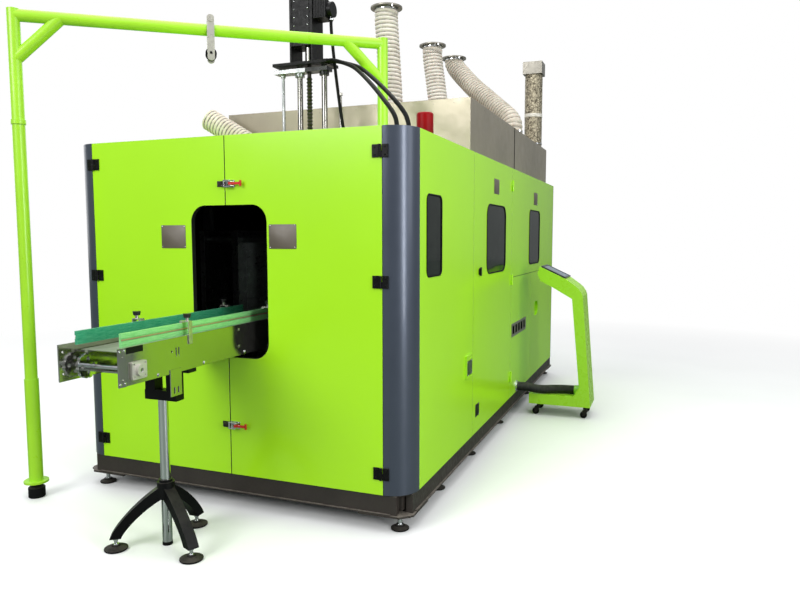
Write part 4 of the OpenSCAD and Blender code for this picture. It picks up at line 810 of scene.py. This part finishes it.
# Screws of the front hinges, one above the other, in the door's leaf and beside the column
def hinge_screws(name, x, y, body):
    bm = bmesh.new()
    for z in HINGE_ZS:
        for dz in (-20, 20):
            screw(bm, (x, y, z + dz), FRONT_OUT, 5, 3)
    piece(name, bm, "plastic", body)


LEAF_X = HINGE_X - 28
COLUMN_X = HINGE_X + 30
hinge_screws("hinge_screws_right", LEAF_X, -6, "right_door")
hinge_screws("column_screws_right", COLUMN_X, -7, "cabinet")
hinge_screws("hinge_screws_left", 2 * MID - LEAF_X, -6, "left_door")
hinge_screws("column_screws_left", 2 * MID - COLUMN_X, -7, "cabinet")


# Conveyor
def conveyor_bolts():
    """Bolts of the end strips and of the cross bars, on both side plates."""
    bm = bmesh.new()
    plate_low = CONVEYOR_Z - PLATE_H
    for x, outward in ((NEAR + 3, RIGHT_OUT), (FAR - 3, LEFT_OUT)):
        for y in (CONVEYOR_FRONT + 7, CONVEYOR_FRONT + 35):
            for z in (plate_low + 13, CONVEYOR_Z - 13):
                hex_head(bm, (x, y, z), outward, 5, 4)
    for x, outward in ((NEAR, RIGHT_OUT), (FAR, LEFT_OUT)):
        for y in (-760, -420, -60, 180):
            hex_head(bm, (x, y, plate_low + 12), outward, 8, 5)
    piece("conveyor_screws", bm, "chrome", "cabinet")


def chain_guard():
    """Black guard at the near plate's top edge."""
    bm = bmesh.new()
    add_box(bm, (NEAR - 1, CONVEYOR_FRONT + 47, CONVEYOR_Z - 29),
            (NEAR + 2.4, CONVEYOR_FRONT + 152, CONVEYOR_Z - 1))
    piece("chain_guard", bm, "plastic", "cabinet", False, 0.0012)


def rail_strips():
    """Metal strip in the groove of each guide plank."""
    bm = bmesh.new()
    strip_w = 5.6
    end = CONVEYOR_FRONT + CONVEYOR_LEN - 28
    for x in (PLANK_NEAR + 9.6, PLANK_FAR - 1.2):
        add_box(bm, (x, CONVEYOR_FRONT + 65, CONVEYOR_Z + 24.5), (x + strip_w, end, CONVEYOR_Z + 30.5))
    piece("rail_strips", bm, "strip", "cabinet", False, 0.0008)


conveyor_bolts()
chain_guard()
rail_strips()


# Hood
def hood_seam_shade_strip():
    """Black rubber in the gap between the two hood covers, with a flat bead outside it: a dark strip that
    stands in for the shade of the seam.
    """
    bm = bmesh.new()
    fill_0, fill_1 = HOOD_SPLIT - 2.8, HOOD_SPLIT + 2.8
    bead_0, bead_1 = HOOD_SPLIT - 10, HOOD_SPLIT + 10
    bead_t = 1.6
    foot = CABINET_H + 2
    left, right = HOOD_LEFT + 2, HOOD_RIGHT - 2
    for x in (left, right - 6):
        add_box(bm, (x, fill_0, foot), (x + 6, fill_1, HOOD_TOP - 8.2))
    add_box(bm, (left, fill_0, HOOD_TOP - 8), (right, fill_1, HOOD_TOP - 2.5))
    for x in (HOOD_LEFT - 0.2 - bead_t, HOOD_RIGHT + 0.2):
        add_box(bm, (x, bead_0, foot), (x + bead_t, bead_1, HOOD_TOP))
    add_box(bm, (HOOD_LEFT, bead_0, HOOD_TOP + 0.2), (HOOD_RIGHT, bead_1, HOOD_TOP + 0.2 + bead_t))
    piece("hood_seam_shade_strip", bm, "rubber", "cabinet", False, 0.0006)


def hood_rivets():
    """A row along the foot and the top of both covers, on the right side and the front."""
    bm = bmesh.new()
    pitch = 150
    rows = (CABINET_H + 30, HOOD_TOP - 30)
    front_ys = range(HOOD_FRONT + 80, HOOD_SPLIT - 30, pitch)
    rear_ys = range(HOOD_SPLIT + 70, HOOD_BACK - 20, pitch)
    for z in rows:
        for y in (*front_ys, *rear_ys):
            rivet(bm, (HOOD_RIGHT, y, z), RIGHT_OUT, 4)
    for x in range(HOOD_LEFT + 60, HOOD_RIGHT - 20, pitch):
        for z in rows:
            rivet(bm, (x, HOOD_FRONT, z), FRONT_OUT, 4)
    piece("hood_rivets", bm, "collar", "cabinet")


# White ducts: each one's foot, its lean from there to the ceiling and its cloth
DUCTS = [((MID + 165, HOOD_FRONT + 680), (-41, 0), "duct"),
         ((MID + 208, HOOD_FRONT + 1880), (-88, 0), "duct"),
         ((MID + 893, HOOD_FRONT + 2010), (-722, 415), "duct_shaded")]
SLANTED = [(0, 0, 0), (0, 0, 20), (0, 0, 55), (-8, 5, 98), (-36, 21, 148), (-86, 49, 196), (-142, 81, 244),
           (-227, 130, 318), (-308, 177, 391), (-422, 242, 488), (-530, 305, 592), (-616, 355, 684),
           (-676, 389, 752), (-709, 408, 803), (-721, 415, 836), (-722, 415, 862)]
DUCT_PITCH = 32
DUCT_VALLEY_R = 88.7
DUCT_RIDGE = 8.8
DUCT_END_R = 92.5
DUCT_SIDES = 48
DUCT_STEP = 4
FOIL_AT = (MID + 918, HOOD_BACK - 230)
FOIL_R = 94.5
FOIL_BAND_RISE = 3
FOIL_SIDES = 60
FOIL_STEP = 6


def duct_route(foot, lean):
    """Upright at both ends. The duct that also leans back follows the listed points."""
    x, y = foot
    if lean[1]:
        return [(x + a, y + b, DUCT_LOW + c) for a, b, c in SLANTED]
    top = x + lean[0]
    return [(x, y, DUCT_LOW), (x, y, DUCT_LOW + 45), (x, y, DUCT_LOW + 110),
            (x + lean[0] / 2, y, (DUCT_LOW + DUCT_HIGH) / 2),
            (top, y, DUCT_HIGH - 110), (top, y, DUCT_HIGH - 45), (top, y, DUCT_HIGH)]


def white_duct(number, foot, lean, look):
    """Turns of the wire with sagging, crumpled cloth between them, held in where the clamps sit."""
    points = even(smooth_line(duct_route(foot, lean), 12), DUCT_STEP / 1000)
    last = len(points) - 1
    seed = Vector((11.3 * number, 4.1, 0.7))

    def radius_at(j, k):
        turn = (j * DUCT_STEP + DUCT_PITCH * k / DUCT_SIDES) / DUCT_PITCH % 1.0
        angle = 2 * math.pi * k / DUCT_SIDES
        q = Vector((math.cos(angle) * 1.5, math.sin(angle) * 1.5, j * 0.03)) + seed
        r = DUCT_VALLEY_R + DUCT_RIDGE * abs(math.sin(math.pi * turn))
        r -= 2.2 * abs(noise.noise(q)) + 1.2 * abs(noise.noise(q * 3.1))
        if j < 5 or j > last - 5:
            return min(r, DUCT_END_R)
        return r

    bm = bmesh.new()
    swept(bm, points, radius_at, DUCT_SIDES)
    ob = piece(f"white_duct_{number + 1}", bm, look, "cabinet")
    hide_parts("white_ducts")


def foil_duct():
    """Crumpled foil with a smooth clamp band."""
    def radius_at(j, k):
        angle = 2 * math.pi * k / FOIL_SIDES
        q = Vector((math.cos(angle) * 2.2, math.sin(angle) * 2.2, j * 0.09))
        r = FOIL_R - 3.5 * abs(noise.noise(q * 1.7))
        if FOIL_BAND[0] + 2 < DUCT_LOW + FOIL_STEP * j < FOIL_BAND[1] - 2:
            return r + FOIL_BAND_RISE
        return r - 2.2 * abs(noise.noise(q * 5.0))

    bm = bmesh.new()
    line = [at(*FOIL_AT, z) for z in range(DUCT_LOW, FOIL_HIGH + 1, FOIL_STEP)]
    swept(bm, line, radius_at, FOIL_SIDES)
    ob = piece("foil_duct_skin", bm, "foil", "cabinet")
    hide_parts("foil_duct")


def duct_clamps():
    """Bands with their screw housings at both ends of each white duct and the foot of the foil one."""
    band = [(93, 0), (97.4, 0), (97.4, 13), (93, 13), (93, 0)]
    places = []
    for (x, y), lean, _ in DUCTS:
        places.append((x, y, DUCT_LOW + 6))
        places.append((x + lean[0], y + lean[1], DUCT_HIGH - 16))
    places.append((*FOIL_AT, DUCT_LOW + 6))
    bm = bmesh.new()
    for x, y, z in places:
        turned(bm, (x, y, z), UP, band, 48)
        add_box(bm, (x + 88, y - 104, z - 1), (x + 96, y - 60, z + 14))
    piece("duct_clamps", bm, "chrome", "cabinet")


hood_seam_shade_strip()
for number, duct in enumerate(DUCTS):
    white_duct(number, *duct)
foil_duct()
duct_clamps()
hood_rivets()


# Stretch drive
def motor_fins():
    """Cooling fins on the motor's front and top faces."""
    bm = bmesh.new()
    front_y = STRETCH_Y - 50
    top_z = MOTOR_Z + MOTOR_SIDE
    for i in range(7):
        x = MOTOR_X + 8 + i * 12
        add_box(bm, (x, front_y - 3, MOTOR_Z + 4), (x + 4, front_y, top_z - 4))
        add_box(bm, (x, front_y + 4, top_z - 0.5), (x + 4, front_y + 20, top_z + 3))
    piece("motor_fins", bm, "plastic", "cabinet", False, 0.0006)


def motor_plugs():
    """Shells of the two plugs on the motor and of the gland at its cable."""
    bm = bmesh.new()
    shell = [(15.5, -14), (18, -12), (18, 2), (13, 6), (9, 6), (8, 1), (0, 1)]
    gland = [(16, 2), (17.5, 3), (17.5, 12), (16, 14), (15.2, 24)]
    for y in (STRETCH_Y - 20, STRETCH_Y + 40):
        turned(bm, (MOTOR_X + 60, y, MOTOR_Z + MOTOR_SIDE + 33), UP, shell)
    turned(bm, (MOTOR_X + MOTOR_L + 14, STRETCH_Y + 10, MOTOR_Z - 14), UP, gland)
    piece("motor_plugs", bm, "chrome", "cabinet")


def drive_screws():
    """Two columns of cover screws on the servo column's front."""
    bm = bmesh.new()
    for z in range(SERVO_Z + 25, SERVO_Z + 325, 55):
        for x in (SERVO_X + 36, SERVO_X + SERVO_W - 36):
            screw(bm, (x, STRETCH_Y - 60, z), FRONT_OUT, 4, 3)
    piece("drive_screws", bm, "chrome", "cabinet")


motor_fins()
motor_plugs()
drive_screws()


# Display in the console's screen housing, in its recess
def display():
    run = SCREEN_FOOT[0] - SCREEN_TOP[0]
    fall = SCREEN_FOOT[1] - SCREEN_TOP[1]
    slope = math.atan2(fall, run)
    cos, sin = math.cos(slope), math.sin(slope)
    start, end = 26, math.hypot(run, fall) - 26
    half = CONSOLE_W / 2 - 36
    height = 9.4
    across, along = 8, 6
    bm = bmesh.new()
    grid = []
    for i in range(along + 1):
        s = start + (end - start) * i / along
        x = CONSOLE_X + SCREEN_TOP[0] + s * cos - height * sin
        z = CONSOLE_Z + SCREEN_TOP[1] + s * sin + height * cos
        ys = [CONSOLE_Y - half + 2 * half * j / across for j in range(across + 1)]
        grid.append([bm.verts.new(at(x, y, z)) for y in ys])
    for p, q in zip(grid, grid[1:]):
        for j in range(across):
            bm.faces.new((p[j], p[j + 1], q[j + 1], q[j]))
    piece("display", bm, "display", "cabinet")


display()


# Stage: floor, surroundings and lights
def floor_paint():
    """Pale for the camera, fading to white far off; greenish grey for what the machine reflects."""
    look = Look("floor_paint")
    direct = look.node("LightPath").outputs["Is Camera Ray"]
    pale = look.mix(look.ramp(look.noise(0.7, 3), 0.3, 0.7), rgb(246, 247, 246), rgb(240, 241, 240))
    look.set(Base_Color=look.mix(direct, rgb(104, 116, 106), pale), Roughness=0.55,
             Normal=look.bump(look.noise(60, 3), 0.02, 0.001))
    x, y, _ = look.xyz()
    far = look.math("SQRT", look.math("ADD", look.both(x, x), look.both(y, y)))
    white = look.node("Emission", {"Color": (1.0, 1.0, 1.0, 1.0), "Strength": 1.0}).outputs[0]
    fade = look.both(look.ramp(far, 3.5, 8.5), direct)
    shown = look.node("MixShader", {0: fade, 1: look.shader.outputs[0], 2: white}).outputs[0]
    look.put(look.output.inputs["Surface"], shown)
    return look.material


def make_floor():
    bm = bmesh.new()
    bmesh.ops.create_grid(bm, x_segments=4, y_segments=4, size=40)
    mesh = bpy.data.meshes.new("floor")
    bm.to_mesh(mesh)
    bm.free()
    mesh.materials.append(floor_paint())
    floor = add_object("floor", mesh)
    floor.location.z = -0.0006


def make_world():
    """White where the camera looks past the machine; lights it from above, dimmer towards the floor."""
    world = bpy.data.worlds.new("world")
    scene.world = world
    world.use_nodes = True
    tree = Tree(world.node_tree)
    height = tree.node("SeparateXYZ", {0: tree.node("TexCoord").outputs["Generated"]}).outputs[2]
    sky = tree.node("ValToRGB", {0: height})
    low, high = sky.color_ramp.elements
    low.position = 0.0
    low.color = (0.34, 0.36, 0.36, 1)
    high.position = 0.55
    high.color = (0.95, 0.97, 1.0, 1)
    lit = tree.node("Background", {"Color": sky.outputs[0], "Strength": 0.66}).outputs[0]
    seen = tree.node("Background", {"Color": (1, 1, 1, 1), "Strength": 1.0}).outputs[0]
    direct = tree.node("LightPath").outputs["Is Camera Ray"]
    mixed = tree.node("MixShader", {0: direct, 1: lit, 2: seen}).outputs[0]
    tree.node("OutputWorld", {"Surface": mixed})


def area_light(name, place, target, size, power):
    data = bpy.data.lights.new(name, "AREA")
    data.shape = "RECTANGLE"
    data.size, data.size_y = size
    data.energy = power
    light = add_object(name, data)
    light.location = place
    light.rotation_euler = (Vector(target) - Vector(place)).to_track_quat("-Z", "Y").to_euler()
    light.visible_camera = False


make_floor()
make_world()
area_light("ceiling_light", (0.5, -0.5, 6.5), (0, 0, 0), (7, 9), 340)
area_light("key_light", (-2.5, -8.5, 5.0), (-0.3, -1.5, 1.2), (4, 3), 385)
area_light("left_light", (-8.0, 0.5, 4.0), (-1.6, 0.4, 1.2), (4, 6), 110)
area_light("back_light", (-3.5, 9.0, 4.0), (-0.3, 2.8, 1.2), (4, 4), 90)
area_light("side_light", (8.5, -1.0, 4.4), (0.6, 0.4, 1.2), (3, 6), 140)
area_light("strip_light", (5.5, -4.0, 2.2), (0.8, -1.8, 1.2), (1.0, 3.4), 150)
